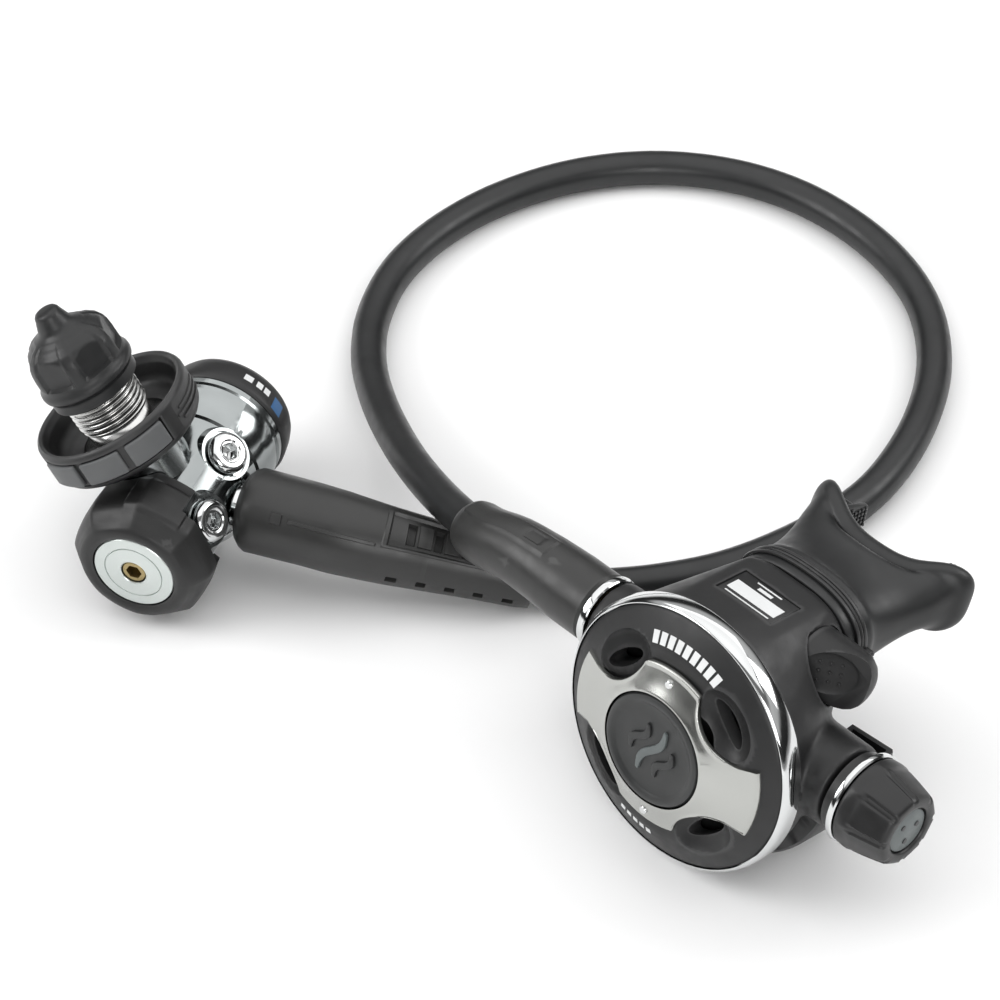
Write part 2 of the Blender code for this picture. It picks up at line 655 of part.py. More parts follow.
def dome(radius):
    """Height of the face plate over the case's frame, falling away from the purge button."""
    return 30.2 - 5.6 * ((radius - 19.0) / 14.5) ** 0.8 if radius > 19.0 else 30.2


def plate_edge(angle):
    """Outline of the face plate: four arms with scooped openings between them."""
    turn = (math.degrees(angle) + 45) % 90 - 45
    side_arm = abs(math.cos(angle)) > math.sin(math.pi / 4)
    reach, half = (33.0, 13.0) if side_arm else (25.6, 19.0)
    outside = max(0.0, abs(turn) - half) / (45 - half)
    blend = min(1.0, outside * 2.2)
    return reach + (21.6 - reach) * (3 * blend**2 - 2 * blend**3)


def make_face_plate(stage, satin):
    count = 40
    rings = []
    for share, drop in ((0.0, 0.0), (0.45, 0.0), (1.0, 0.0), (1.0, 1.0), (0.45, 1.0), (0.0, 1.0)):
        ring = []
        for i in range(count):
            angle = 2 * math.pi * i / count
            radius = BUTTON_R + 0.5 + share * (plate_edge(angle) - BUTTON_R - 0.5)
            ring.append((radius * math.cos(angle), COVER_Y + radius * math.sin(angle), dome(radius) - drop))
        rings.append(ring)
    add_object("face_plate", shell(rings[:3], rings[:2:-1]), satin, stage)


def make_cover(stage, finishes):
    rubber, steel = finishes["rubber"], finishes["steel"]
    at = shift(y=COVER_Y)
    trim = [(38.6, RING_LOW), (40.9, RING_LOW), (COVER_R, RING_LOW + 0.6), (COVER_R, 19.2), (40.4, 20.6),
        (BEZEL_R + GAP, 20.6)]
    trim += [(BEZEL_R + GAP, 17.9), (38.6, 17.9)]
    add_object("cover_ring", turned(trim, 32), finishes["chrome"], stage, at)
    bezel = [(5.5, 20.0), (5.5, 18.4), (BEZEL_R, 18.4), (BEZEL_R, 20.2), (38.6, 21.0), (28.0, 25.4)]
    bezel += [(27.0, 25.2), (27.0, 20.0)]
    cover = add_object("cover_bezel", turned(bezel, 28), finishes["black"], stage, at)
    for k in range(4):
        turn = Matrix.Rotation(math.radians(45 + 90 * k), 4, "Z")
        vent = block((19.0, -5.0, 16.0), (24.5, 5.0, 22.0))
        cut(cover, f"bezel_vent_{k + 1}", vent, at @ turn)
    make_face_plate(stage, finishes["satin"])
    add_object("demand_diaphragm", ring_of(34.4, 12.4, 14.4, 15.2, 28), rubber, stage, at)
    axis = empty("purge_axis", stage, at)
    add_object("diaphragm_plate", rod(12.0, 14.5, 15.1, 24), steel, axis)
    button = [(0, 16.0), (3.6, 16.0), (3.6, 24.5), (7.0, 25.4), (BUTTON_R + 0.9, 25.4),
        (BUTTON_R + 0.9, 27.6)]
    button += [(BUTTON_R, 28.0), (BUTTON_R, 30.2), (BUTTON_R - 1.0, BUTTON_Z), (0, BUTTON_Z)]
    add_object("purge_button", turned(button, 24), finishes["grey"], axis)
    add_object("purge_spring", coil(6.2, 0.5, 20.9, 24.4, 2.0), steel, stage, at)


def make_adjuster(stage, finishes):
    axis = empty("knob_axis", stage, along_x(KNOB_X))
    ring = [(10.0, 0.0), (13.8, 0.0), (14.2, 0.4), (14.2, 1.6), (13.8, 2.0), (10.0, 2.0)]
    add_object("adjuster_ring", turned(ring, 24), finishes["chrome"], axis)
    knob = [(0, -9.0), (2.6, -9.0), (2.6, -3.0), (12.4, -3.0), (12.4, -0.3), (9.7, -0.3), (9.7, 2.3),
        (13.6, 2.3)]
    knob += [(13.9, 8.0), (11.6, KNOB_LENGTH - 0.6), (10.6, KNOB_LENGTH), (7.4, KNOB_LENGTH)]
    knob += [(7.2, KNOB_LENGTH - 1.6), (0, KNOB_LENGTH - 1.6)]
    made = add_object("adjuster_knob", turned(knob, 20), finishes["black"], axis)
    for k in range(8):
        turn = Matrix.Rotation(math.radians(45 * k), 4, "Z") @ shift(x=13.9, z=8.0)
        slope = Matrix.Rotation(math.radians(-12), 4, "Y")
        cut(made, f"knob_groove_{k + 1}", block((-0.9, -1.6, -0.6), (3.0, 1.6, 20.0)), turn @ slope)
    cap = rod(6.9, KNOB_LENGTH - 1.3, KNOB_LENGTH - 0.6)
    add_object("adjuster_cap", cap, finishes["grey"], axis)


def make_venturi(stage, finishes):
    axis = empty("venturi_axis", stage, along_x(0, LEVER_AXIS_Y, LEVER_AXIS_Z))
    low = LEVER_LOW
    body = [(0, low), (LEVER_R, low), (LEVER_R, low + 12.0), (8.6, low + 15.6), (6.4, low + 18.2),
        (0, low + 19.4)]
    lever = add_object("venturi_lever", turned(body, 24), finishes["black"], axis)
    face = shift(x=-6.0, z=low + 9.5) @ Matrix.Rotation(math.radians(10), 4, "Y")
    cut(lever, "venturi_thumb_face", block((-12.0, -14.0, -8.0), (0.0, 14.0, 16.0)), face)
    stem = add_object("venturi_vane", rod(1.9, -9.0, low - GAP, 12), finishes["steel"], axis)
    join(stem, "venturi_flap", block((0.0, -6.2, -8.6), (1.2, 0.4, 6.0)))


def duct_reach(angle, z, wall=0.0):
    """How far the duct's outside is from the cover's axis; its underside is flat along the plane."""
    lowest = 38.6 + 0.194 * z
    return min(TEE_R, lowest / max(0.01, -math.sin(angle))) - wall


def make_exhaust(stage, finishes):
    """A duct that wraps the underside of the case and opens at both sides."""
    outer, inner = [], []
    for step in range(15):
        angle = math.radians(-184 + 188 * step / 14)
        spoke = Vector((math.cos(angle), math.sin(angle), 0))
        centre = Vector((0, COVER_Y, 0))

        def section(corners):
            return [centre + spoke * radius + Vector((0, 0, z)) for radius, z in corners]

        front, back = duct_reach(angle, 2.0), duct_reach(angle, -24.0)
        outer.append(section(((30.0, 2.0), (front, 2.0), (back, -24.0), (27.0, -24.0))))
        inner.append(section(((31.6, 0.4), (front - 1.6, 0.4), (back - 1.6, -22.4), (28.6, -22.4))))
    tee = add_object("exhaust_tee", shell(outer, inner), finishes["black"], stage)
    cut(tee, "exhaust_case_room", hull_of(case_points(GAP)))
    cut(tee, "exhaust_inlet_room", rod(LEFT_BOSS_R + GAP, -60.0, 0.0), along_x())
    cut(tee, "exhaust_knob_room", rod(RIGHT_BOSS_R + GAP, 0.0, 60.0), along_x())
    down = Matrix.Rotation(math.pi / 2, 4, "X")
    valve = rod(5.2, 35.2, 36.0)
    add_object("exhaust_valve", valve, finishes["rubber"], stage, shift(z=-2.0) @ down)


def shield(half_width, half_height, y, z):
    """Outline of the mouthpiece's shield: an oval dipped at its middle, with wings drawn back."""
    points = []
    for x, height, _ in oval(half_width, half_height, 0.0, 0.0, power=3.0):
        dip = 6.0 * math.exp(-((x / 13.0) ** 2)) * height / half_height
        points.append((x, y + height - dip, z - 0.0105 * x * x))
    return points


def make_mouthpiece(stage, finishes):
    start = TUBE_END_Z - GAP
    outside = [(22.3, 14.9, 20.0, start), (22.5, 14.9, 20.0, -30.0), (22.8, 12.6, 20.8, -38.0),
        (24.0, 10.8, 22.6, -46.0)]
    outer = [oval(*ring) for ring in outside] + [shield(28.6, 11.6, 25.0, -51.5),
        shield(29.0, 12.2, 25.2, -53.5)]
    inside = [(19.8, 12.8, 20.0, start), (19.8, 12.8, 20.0, -31.6), (17.0, 9.4, 21.2, -38.0),
        (16.4, 7.0, 22.8, -46.0)]
    inner = [oval(*ring) for ring in inside] + [oval(*ring, bow=0.009) for ring in ((16.0, 5.2, 24.4,
        -51.5), (16.4, 5.4, 24.8, -53.5))]
    piece = add_object("mouthpiece", shell(outer, inner), finishes["rubber"], stage)
    for side, word in ((-1, "left"), (1, "right")):
        near, far = sorted((side * 17.6, side * 26.5))
        join(piece, f"bite_pad_{word}", block((near, 22.6, -72.0), (far, 26.2, -54.0)))
        near, far = sorted((side * 16.8, side * 19.0))
        join(piece, f"bite_lug_{word}", block((near, 18.6, -71.2), (far, 31.0, -54.6)))
    groove = [[oval(width, height, TUBE_Y, z) for z in (-23.6, -27.6)] for width,
        height in ((23.5, 16.0), (22.8, 15.3))]
    tie = add_object("mouthpiece_tie", shell(*groove), finishes["black"], stage)
    join(tie, "tie_head", block((22.6, 16.0, -28.4), (25.6, 21.6, -22.8)))


# ---------------------------------------------------------------- build


def main():
    clear_scene()
    finishes = {
        "chrome": material("chrome", (0.78, 0.79, 0.78), 0.12, 1.0),
        "satin": material("satin metal", (0.62, 0.62, 0.60), 0.32, 1.0),
        "steel": material("steel", (0.52, 0.53, 0.54), 0.3, 1.0),
        "brass": material("brass", (0.52, 0.38, 0.16), 0.3, 1.0),
        "black": material("black plastic", (0.030, 0.030, 0.031), 0.5),
        "rubber": material("black silicone", (0.036, 0.037, 0.038), 0.55),
        "sleeve": material("black sleeve rubber", (0.040, 0.040, 0.041), 0.5),
        "hose": material("black hose rubber", (0.030, 0.031, 0.033), 0.45),
        "grey": material("grey rubber", (0.13, 0.135, 0.14), 0.6),
    }
    world = empty("regulator_set", None, Matrix.Translation(SET_SHIFT * MM))
    heading = FIRST_STAGE_HEADING
    port_way = (math.cos(heading), -math.sin(heading), 0)
    plug_way = (-math.sin(heading), -math.cos(heading), 0)
    first_place = frame(port_way, (0, 0, 1), plug_way, FIRST_STAGE_AT)
    first = empty("first_stage", world, first_place)
    din_way = Vector((math.cos(DIN_ANGLE), math.sin(DIN_ANGLE), 0))
    ahead = Vector((0, 0, 1))
    din = empty("din_axis", first, frame(ahead, din_way.cross(ahead), din_way, (0, 0, 0)))
    make_body(first, din, finishes["chrome"])
    make_port_plugs(first, finishes["chrome"])
    make_boot(first, din, finishes["sleeve"])
    make_end_plug(first, finishes["satin"], finishes["brass"])
    make_regulating_parts(first, finishes)
    make_din(din, finishes)
    make_dust_cap(din, finishes)

    heading, tilt = BARREL_HEADING, COVER_TILT
    barrel_way = Vector((math.cos(heading), -math.sin(heading), 0))
    cover_way = Vector((-math.sin(heading) * math.cos(tilt), -math.cos(heading) * math.cos(tilt),
        math.sin(tilt)))
    second_place = frame(barrel_way, cover_way.cross(barrel_way), cover_way, SECOND_STAGE_AT)
    second = empty("second_stage", world, second_place)
    _, label = make_case(second, finishes["black"])
    add_object("label_plate", label, finishes["satin"], second)
    make_valve(second, finishes)
    make_cover(second, finishes)
    make_adjuster(second, finishes)
    make_venturi(second, finishes)
    make_exhaust(second, finishes)
    make_mouthpiece(second, finishes)
    make_hose(world, first_place, second_place, finishes)


main()
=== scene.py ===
"""Looks of the scuba regulator set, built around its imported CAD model.

Shapes are written in millimetres in the same local frames as the CAD: the first stage's, the DIN
connector's and the second stage's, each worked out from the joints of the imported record.
"""

import json
import math
from math import cos, pi, radians, sin

import bmesh
import bpy
from mathutils import Matrix, Vector

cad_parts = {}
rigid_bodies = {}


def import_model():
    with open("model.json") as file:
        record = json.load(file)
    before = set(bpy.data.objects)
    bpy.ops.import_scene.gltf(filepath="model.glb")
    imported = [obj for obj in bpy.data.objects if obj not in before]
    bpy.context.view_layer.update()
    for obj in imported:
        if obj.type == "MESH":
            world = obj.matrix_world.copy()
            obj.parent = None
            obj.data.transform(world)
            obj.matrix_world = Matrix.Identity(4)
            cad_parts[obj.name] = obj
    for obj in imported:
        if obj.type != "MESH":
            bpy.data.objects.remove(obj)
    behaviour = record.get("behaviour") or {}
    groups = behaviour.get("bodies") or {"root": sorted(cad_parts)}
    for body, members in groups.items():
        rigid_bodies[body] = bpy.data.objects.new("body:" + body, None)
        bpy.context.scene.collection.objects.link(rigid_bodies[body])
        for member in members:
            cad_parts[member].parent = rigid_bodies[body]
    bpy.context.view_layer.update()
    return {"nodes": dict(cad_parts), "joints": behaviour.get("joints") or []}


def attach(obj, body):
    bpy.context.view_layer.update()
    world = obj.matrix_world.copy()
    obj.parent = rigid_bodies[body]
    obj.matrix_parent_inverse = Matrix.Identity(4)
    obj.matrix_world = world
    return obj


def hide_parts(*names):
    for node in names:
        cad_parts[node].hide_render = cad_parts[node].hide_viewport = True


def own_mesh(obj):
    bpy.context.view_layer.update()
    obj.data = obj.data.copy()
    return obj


for startup_object in list(bpy.data.objects):
    bpy.data.objects.remove(startup_object, do_unlink=True)
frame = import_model()

MM = 0.001
MILLI = Matrix.Diagonal((MM, MM, MM, 1))
SCENE = bpy.context.scene
JOINTS = {joint["name"]: joint for joint in frame["joints"]}

# Camera, round the middle of the set's footprint.
CAMERA_TARGET = Vector((0.00133, 0.07867, 0))
CAMERA_DISTANCE = 1.4
CAMERA_ELEVATION = radians(44)
CAMERA_LENS = 163.8

# The hose, from its port in the first stage's frame to the inlet in the second stage's.
HOSE_R = 5.65
HOSE_STEP = 4
HOSE_PORT_X = 18.2
HOSE_PORT_Z = -5.3
INLET_X = -49.6
# A sleeve's rough radius, which turns an edge's width into an angle, and its bore on the hose.
SLEEVE_R = 11
SLEEVE_BORE = 6.1
# The hose's centre line, as in the CAD, before the set's shift.
SET_SHIFT = Vector((1.33, 78.67, 0))
HOSE_ROUTE = (
    (-62.43, -31.07, 22), (-56.8, -33.12, 22), (-47, -36.6, 21.5), (-34, -38.8, 18.8),
    (-20, -39.8, 15.2), (-6, -41.2, 12.1), (8, -43.2, 9.3), (23, -44.4, 6.8),
    (38, -42.8, 5.7), (53, -40.2, 5.7), (68, -35.6, 5.7), (84, -27.4, 5.7),
    (101, -15.2, 5.7), (117, 2, 5.7), (130, 27, 5.7), (137, 55, 5.7),
    (135.4, 84, 5.7), (124, 110.5, 5.7), (104, 133.2, 5.7), (80, 147.2, 5.7),
    (53, 152.4, 5.7), (26, 148.6, 5.7), (1, 137, 5.7), (-19, 120.4, 5.7),
    (-33, 100.6, 5.8), (-40.2, 78, 6.4), (-41.4, 56, 8.4), (-38.4, 34, 12.2),
    (-32.6, 11, 17.6), (-25, -12, 24.2), (-15.4, -34.4, 31.4), (-4.2, -54.2, 38),
    (4.6, -63.6, 41.6), (13.36, -72.76, 42.7), (17.53, -77.08, 42.7),
)


# ---- frames


def local_frame(x_axis, z_axis, at):
    """A placing matrix from an X and a Z direction and a point in metres; Y completes it."""
    z_axis = Vector(z_axis).normalized()
    y_axis = z_axis.cross(Vector(x_axis)).normalized()
    turn = Matrix((y_axis.cross(z_axis), y_axis, z_axis)).transposed().to_4x4()
    return Matrix.Translation(Vector(at)) @ turn


def scaled(place):
    """A local placing in millimetres, for use after a frame in metres."""
    made = place.copy()
    made.translation = place.translation * MM
    return made


def shift(x=0, y=0, z=0):
    return Matrix.Translation((x, y, z))


def turn_about(axis, degrees):
    return Matrix.Rotation(radians(degrees), 4, axis)


FIRST_WAY = Vector(JOINTS["poppet_lift"]["axis"])
FIRST_AT = Vector(JOINTS["wheel_turn"]["pos_m"])
FIRST = local_frame(Vector((0, 0, 1)).cross(FIRST_WAY), FIRST_WAY, FIRST_AT)
DIN = local_frame(FIRST_WAY, JOINTS["wheel_turn"]["axis"], FIRST_AT)
SECOND_WAY = -Vector(JOINTS["purge_press"]["axis"])
SWIVEL = JOINTS["second_stage_swivel"]
SECOND = local_frame(SWIVEL["axis"], SECOND_WAY, SWIVEL["pos_m"])
BARREL = turn_about("Y", 90)
DOWNWARD = turn_about("X", 90)


# ---- mesh building, in millimetres


def bridge(shape, first, second):
    """Faces between two rings of vertices; a ring of one vertex is a pole."""
    count = max(len(first), len(second))
    for i in range(count):
        j = (i + 1) % count
        corners = [first[i % len(first)], first[j % len(first)]]
        corners += [second[j % len(second)], second[i % len(second)]]
        shape.faces.new(list(dict.fromkeys(corners)))


def even_angles(count):
    return [2 * pi * i / count for i in range(count)]


def turned(profile, segments=96, reach=None, angles=None):
    """A turned solid about Z from (radius, z) points; reach(angle, radius, z) may reshape its radius."""
    shape = bmesh.new()
    rings = []
    for radius, z in profile:
        if radius == 0:
            rings.append([shape.verts.new((0, 0, z))])
            continue
        ring = []
        for angle in angles or even_angles(segments):
            r = reach(angle, radius, z) if reach else radius
            ring.append(shape.verts.new((r * cos(angle), r * sin(angle), z)))
        rings.append(ring)
    for first, second in zip(rings, rings[1:]):
        bridge(shape, first, second)
    if profile[0][0] != 0:
        bridge(shape, rings[-1], rings[0])
    return shape


def refine(profile, step):
    """The profile with points at most a step apart."""
    made = [profile[0]]
    for a, b in zip(profile, profile[1:]):
        parts = max(1, math.ceil(math.dist(a, b) / step))
        made += [tuple(a[k] + (b[k] - a[k]) * i / parts for k in (0, 1)) for i in range(1, parts)] + [b]
    return made


def facet(angle, sides, blend):
    """How much further a rounded polygon reaches than a circle."""
    part = 2 * pi / sides
    off = (angle % part) - part / 2
    return 1 + blend * (cos(part / 2) / cos(off) - 1)


def patch(value, low, high, edge):
    """1 inside a range and 0 outside, with a soft edge."""
    inside = min(value - low, high - value) / edge
    share = max(0, min(1, inside))
    return share * share * (3 - 2 * share)


def rod(radius, low, high, segments=64):
    return turned([(0, low), (radius, low), (radius, high), (0, high)], segments)


def block(low, high):
    shape = bmesh.new()
    size = Matrix.Diagonal([b - a for a, b in zip(low, high)]).to_4x4()
    middle = [(a + b) / 2 for a, b in zip(low, high)]
    bmesh.ops.create_cube(shape, size=1, matrix=shift(*middle) @ size)
    return shape


def arc_block(inner, outer, start, end, low, high):
    """A block bent round Z between two angles in degrees."""
    steps = max(2, int((end - start) / 3))
    angles = [radians(start + (end - start) * i / steps) for i in range(steps + 1)]
    outside = [(outer * cos(a), outer * sin(a)) for a in angles]
    inside = [(inner * cos(a), inner * sin(a)) for a in reversed(angles)]
    return extruded(outside + inside, low, high)


def lofted(rings):
    """A solid through rings of points, closed at both ends."""
    shape = bmesh.new()
    made = [[shape.verts.new(point) for point in ring] for ring in rings]
    for first, second in zip(made, made[1:]):
        bridge(shape, first, second)
    shape.faces.new(made[0])
    shape.faces.new(made[-1])
    return shape


def extruded(outline, low, high):
    return lofted([[(x, y, z) for x, y in outline] for z in (low, high)])


def shell(outer, inner):
    """A tube of that outside and inside, each a list of rings from one end to the other."""
    shape = bmesh.new()
    rings = [[shape.verts.new(point) for point in ring] for ring in outer + inner[::-1]]
    for first, second in zip(rings, rings[1:] + rings[:1]):
        bridge(shape, first, second)
    return shape


def hull_of(points):
    shape = bmesh.new()
    for point in points:
        shape.verts.new(point)
    bmesh.ops.convex_hull(shape, input=shape.verts)
    inside = [vert for vert in shape.verts if not vert.link_faces]
    bmesh.ops.delete(shape, geom=inside, context="VERTS")
    return shape


def ball(radius, at, around=16):
    shape = bmesh.new()
    size = {"u_segments": around, "v_segments": around // 2, "radius": radius}
    bmesh.ops.create_uvsphere(shape, **size, matrix=shift(*at))
    return shape


def oval(half_width, half_height, y, z, power=2.4, count=64, bow=0):
    """A rounded oval in X and Y; bow draws its sides back along -Z."""
    points = []
    for angle in even_angles(count):
        cosine, sine = cos(angle), sin(angle)
        x = half_width * math.copysign(abs(cosine) ** (2 / power), cosine)
        dy = half_height * math.copysign(abs(sine) ** (2 / power), sine)
        points.append((x, y + dy, z - bow * x * x))
    return points


def added(name, data):
    """A new object in the scene."""
    made = bpy.data.objects.new(name, data)
    SCENE.collection.objects.link(made)
    return made


def solid(name, shape, place=None):
    """An object of that mesh, in millimetres at its local frame."""
    if place:
        shape.transform(place)
    bmesh.ops.recalc_face_normals(shape, faces=shape.faces)
    mesh = bpy.data.meshes.new(name)
    shape.to_mesh(mesh)
    shape.free()
    return added(name, mesh)


def bake(obj):
    """Applies an object's modifiers to its mesh."""
    graph = bpy.context.evaluated_depsgraph_get()
    mesh = bpy.data.meshes.new_from_object(obj.evaluated_get(graph))
    obj.modifiers.clear()
    obj.data = mesh


def combine(target, tools, operation):
    """Cuts or joins each tool, a mesh or an object, and removes it."""
    for tool in tools:
        other = solid("tool", tool) if isinstance(tool, bmesh.types.BMesh) else tool
        change = target.modifiers.new("combine", "BOOLEAN")
        change.operation = operation
        change.solver = "MANIFOLD"
        change.object = other
        bake(target)
        bpy.data.objects.remove(other)
    return target


def cut(target, *tools):
    return combine(target, tools, "DIFFERENCE")


def join(target, *tools):
    return combine(target, tools, "UNION")


def moved(shape, *places):
    for place in places:
        shape.transform(place)
    return shape


def soften(obj, width, angle=30, segments=3):
    change = obj.modifiers.new("soften", "BEVEL")
    change.width = width
    change.segments = segments
    change.limit_method = "ANGLE"
    change.angle_limit = radians(angle)
    bake(obj)
    return obj


def remesh(obj, voxel, smooth=4):
    """Flows joined solids into one moulded skin."""
    change = obj.modifiers.new("remesh", "REMESH")
    change.mode = "VOXEL"
    change.voxel_size = voxel
    relax = obj.modifiers.new("relax", "SMOOTH")
    relax.factor = 0.5
    relax.iterations = smooth
    bake(obj)
    return obj


def smooth(obj, sharp):
    """Smooth shading, except over edges sharper than an angle in degrees."""
    obj.data.shade_smooth()
    obj.data.set_sharp_from_angle(angle=radians(sharp))


def dress(obj, finish, sharp=35):
    """Smooth shading and one finish over all of an object."""
    obj.data.materials.clear()
    obj.data.materials.append(finish)
    smooth(obj, sharp)


def piece(obj, place, body, finish, stands_for=(), sharp=38):
    """Puts a finished object in the row frame, on its body; one with painted faces keeps its paint."""
    obj.data.transform(place @ MILLI)
    if any(obj.data.materials):
        smooth(obj, sharp)
    else:
        dress(obj, finish, sharp)
    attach(obj, body)
    if stands_for:
        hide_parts(*stands_for)
    return obj


def paint_faces(obj, finishes, choose):
    """Gives each face one of the finishes; choose(centre) returns its index. Still in the local frame."""
    for finish in finishes:
        obj.data.materials.append(finish)
    for face in obj.data.polygons:
        face.material_index = choose(face.center)


# ---- materials

# Noise scales are per metre. An edge is rubbed as its Pointiness goes through the range.
MOTTLE_SCALE = 70
GLOSS_SCALE = 189
EDGE_RANGE = (0.52, 0.62)
RUBBED_GAIN, RUBBED_LIFT = 1.6, 0.035


def noise(tree, coords, scale, detail=3):
    made = tree.nodes.new("ShaderNodeTexNoise")
    made.inputs["Scale"].default_value = scale
    made.inputs["Detail"].default_value = detail
    tree.links.new(coords, made.inputs["Vector"])
    return made.outputs["Fac"]


def ranged(tree, value, low, high, start=0.3, end=0.7):
    """The value from start to end, spread over low to high."""
    made = tree.nodes.new("ShaderNodeMapRange")
    made.inputs["From Min"].default_value = start
    made.inputs["From Max"].default_value = end
    made.inputs["To Min"].default_value = low
    made.inputs["To Max"].default_value = high
    tree.links.new(value, made.inputs["Value"])
    return made.outputs["Result"]


def mixed(tree, share, first, second):
    """A colour between two: each is a colour or a socket, and share a socket."""
    mix = tree.nodes.new("ShaderNodeMix")
    mix.data_type = "RGBA"
    tree.links.new(share, mix.inputs["Factor"])
    for name, value in (("A", first), ("B", second)):
        if isinstance(value, bpy.types.NodeSocket):
            tree.links.new(value, mix.inputs[name])
        else:
            mix.inputs[name].default_value = (*[min(1, channel) for channel in value], 1)
    return mix.outputs["Result"]


def surface(name, slot, colour, roughness, metallic=0, mottle=0.12, spread=0.06, grain=0.5,
            depth=0.03, strength=0.25, wear=0):
    """A procedural finish: mottled colour, uneven gloss, fine grain and paler, rubbed edges.

    mottle and spread are how far colour and roughness stray, grain and depth are in millimetres,
    and wear is how far an edge is rubbed.
    """
    made = bpy.data.materials.new(name)
    made.use_nodes = True
    made["slot"] = slot
    tree = made.node_tree
    shader = tree.nodes["Principled BSDF"]
    shader.inputs["Metallic"].default_value = metallic
    coords = tree.nodes.new("ShaderNodeTexCoord").outputs["Object"]
    dark, light = ([c * (1 + way * mottle) for c in colour] for way in (-1, 1))
    shade = mixed(tree, ranged(tree, noise(tree, coords, MOTTLE_SCALE), 0, 1), dark, light)
    if wear:
        edge = tree.nodes.new("ShaderNodeNewGeometry").outputs["Pointiness"]
        rubbed = [c * RUBBED_GAIN + RUBBED_LIFT for c in colour]
        shade = mixed(tree, ranged(tree, edge, 0, wear, *EDGE_RANGE), shade, rubbed)
    tree.links.new(shade, shader.inputs["Base Color"])
    gloss = ranged(tree, noise(tree, coords, GLOSS_SCALE, 5), roughness - spread, roughness + spread)
    tree.links.new(gloss, shader.inputs["Roughness"])
    bump = tree.nodes.new("ShaderNodeBump")
    bump.inputs["Strength"].default_value = strength
    bump.inputs["Distance"].default_value = depth * MM
    tree.links.new(noise(tree, coords, 1 / (grain * MM), 2), bump.inputs["Height"])
    tree.links.new(bump.outputs["Normal"], shader.inputs["Normal"])
    return made


CHROME = surface("polished chrome", "chrome", (0.66, 0.67, 0.67), 0.085, 1, mottle=0.03, spread=0.03,
                 grain=2.5, depth=0.01, strength=0.1)
# The body's chrome is the polished chrome with a darker colour and a wider mottle. This is painted shade
# and painted dark reflections for the surroundings it mirrors; the trims keep the bright chrome.
PAINTED_SHADE_BODY_CHROME = surface("body chrome with painted shade", "chrome", (0.34, 0.36, 0.36), 0.16, 1, mottle=0.06, spread=0.04,
                      grain=3, depth=0.003, strength=0.05)
THREAD = surface("thread chrome", "chrome", (0.66, 0.66, 0.65), 0.20, 1, mottle=0.05, spread=0.04,
                 grain=3, depth=0.005, strength=0.05)
SATIN = surface("satin metal", "satin_metal", (0.47, 0.475, 0.455), 0.25, 1, mottle=0.02, spread=0.02,
                grain=0.6, depth=0.002, strength=0.05)
DISC = surface("plated disc", "satin_metal", (0.60, 0.64, 0.62), 0.32, 1, mottle=0.03, spread=0.03,
               grain=0.2, depth=0.008, strength=0.2)
STEEL = surface("spring steel", "steel", (0.52, 0.53, 0.54), 0.3, 1, mottle=0.08)
BRASS = surface("brass", "brass", (0.33, 0.26, 0.13), 0.36, 1, mottle=0.2, spread=0.1)
PLASTIC = surface("moulded black plastic", "black_plastic", (0.009, 0.009, 0.0094), 0.46, wear=0.6,
                  grain=0.35, strength=0.35)
SOFT_PLASTIC = surface("satin black plastic", "black_plastic", (0.01, 0.01, 0.0104), 0.38, wear=0.5,
                       grain=0.3, depth=0.02, strength=0.3)
SILICONE = surface("black silicone", "black_silicone", (0.012, 0.0124, 0.0128), 0.42, wear=0.4,
                   grain=0.8, depth=0.04)
# Sleeve rubber is partly its own black rubber and partly painted sheen: its colour is lifted paler than the
# boot's.
SHEEN_LIFTED_SLEEVE = surface("sleeve rubber with painted sheen", "black_sleeve", (0.023, 0.023, 0.0225), 0.38, wear=0.6, grain=0.4,
                 strength=0.3)
BOOT = surface("boot rubber", "black_sleeve", (0.008, 0.008, 0.008), 0.44, wear=0.6, grain=0.4,
               strength=0.3)
HOSE = surface("hose rubber", "hose_rubber", (0.012, 0.0125, 0.013), 0.38, strength=0.3, mottle=0.18)
GREY = surface("grey rubber", "grey_rubber", (0.095, 0.098, 0.1), 0.55, wear=0.4, grain=0.3,
               depth=0.04, strength=0.4)
BUTTON = surface("button rubber", "grey_rubber", (0.019, 0.02, 0.02), 0.42, wear=0.5, grain=0.3,
                 strength=0.3)
EMBLEM = surface("emblem rubber", "grey_rubber", (0.1, 0.115, 0.115), 0.4, wear=0.3, grain=0.3)
INK = surface("white print", "satin_metal", (0.72, 0.73, 0.73), 0.5, grain=0.2, mottle=0.05)
BLUE = surface("blue print", "black_plastic", (0.03, 0.11, 0.26), 0.45, grain=0.2)


# ---- camera


def make_camera():
    data = bpy.data.cameras.new("camera")
    data.sensor_width = 36
    data.lens = CAMERA_LENS
    data.clip_end = 50
    camera = added("camera", data)
    back = Vector((0, -cos(CAMERA_ELEVATION), sin(CAMERA_ELEVATION)))
    camera.location = CAMERA_TARGET + back * CAMERA_DISTANCE
    camera.rotation_euler = (-back).to_track_quat("-Z", "Y").to_euler()
    SCENE.camera = camera


# ---- hose


def smooth_line(route, steps=12):
    """Points on a smooth curve through every point of the route."""
    ends = [2 * route[0] - route[1]] + route + [2 * route[-1] - route[-2]]
    line = []
    for a, b, c, d in zip(ends, ends[1:], ends[2:], ends[3:]):
        for step in range(steps):
            t = step / steps
            bend = (2 * a - 5 * b + 4 * c - d) * t * t + (3 * b - a - 3 * c + d) * t**3
            line.append(0.5 * (2 * b + (c - a) * t + bend))
    return line + [route[-1]]


def spaced(line, spacing):
    """The line again, with its points an equal distance apart."""
    travelled = [0]
    for a, b in zip(line, line[1:]):
        travelled.append(travelled[-1] + (b - a).length)
    count = round(travelled[-1] / spacing)
    made = []
    at = 0
    for i in range(count + 1):
        wanted = travelled[-1] * i / count
        while at < len(line) - 2 and travelled[at + 1] < wanted:
            at += 1
        share = (wanted - travelled[at]) / (travelled[at + 1] - travelled[at])
        made.append(line[at].lerp(line[at + 1], share))
    return made


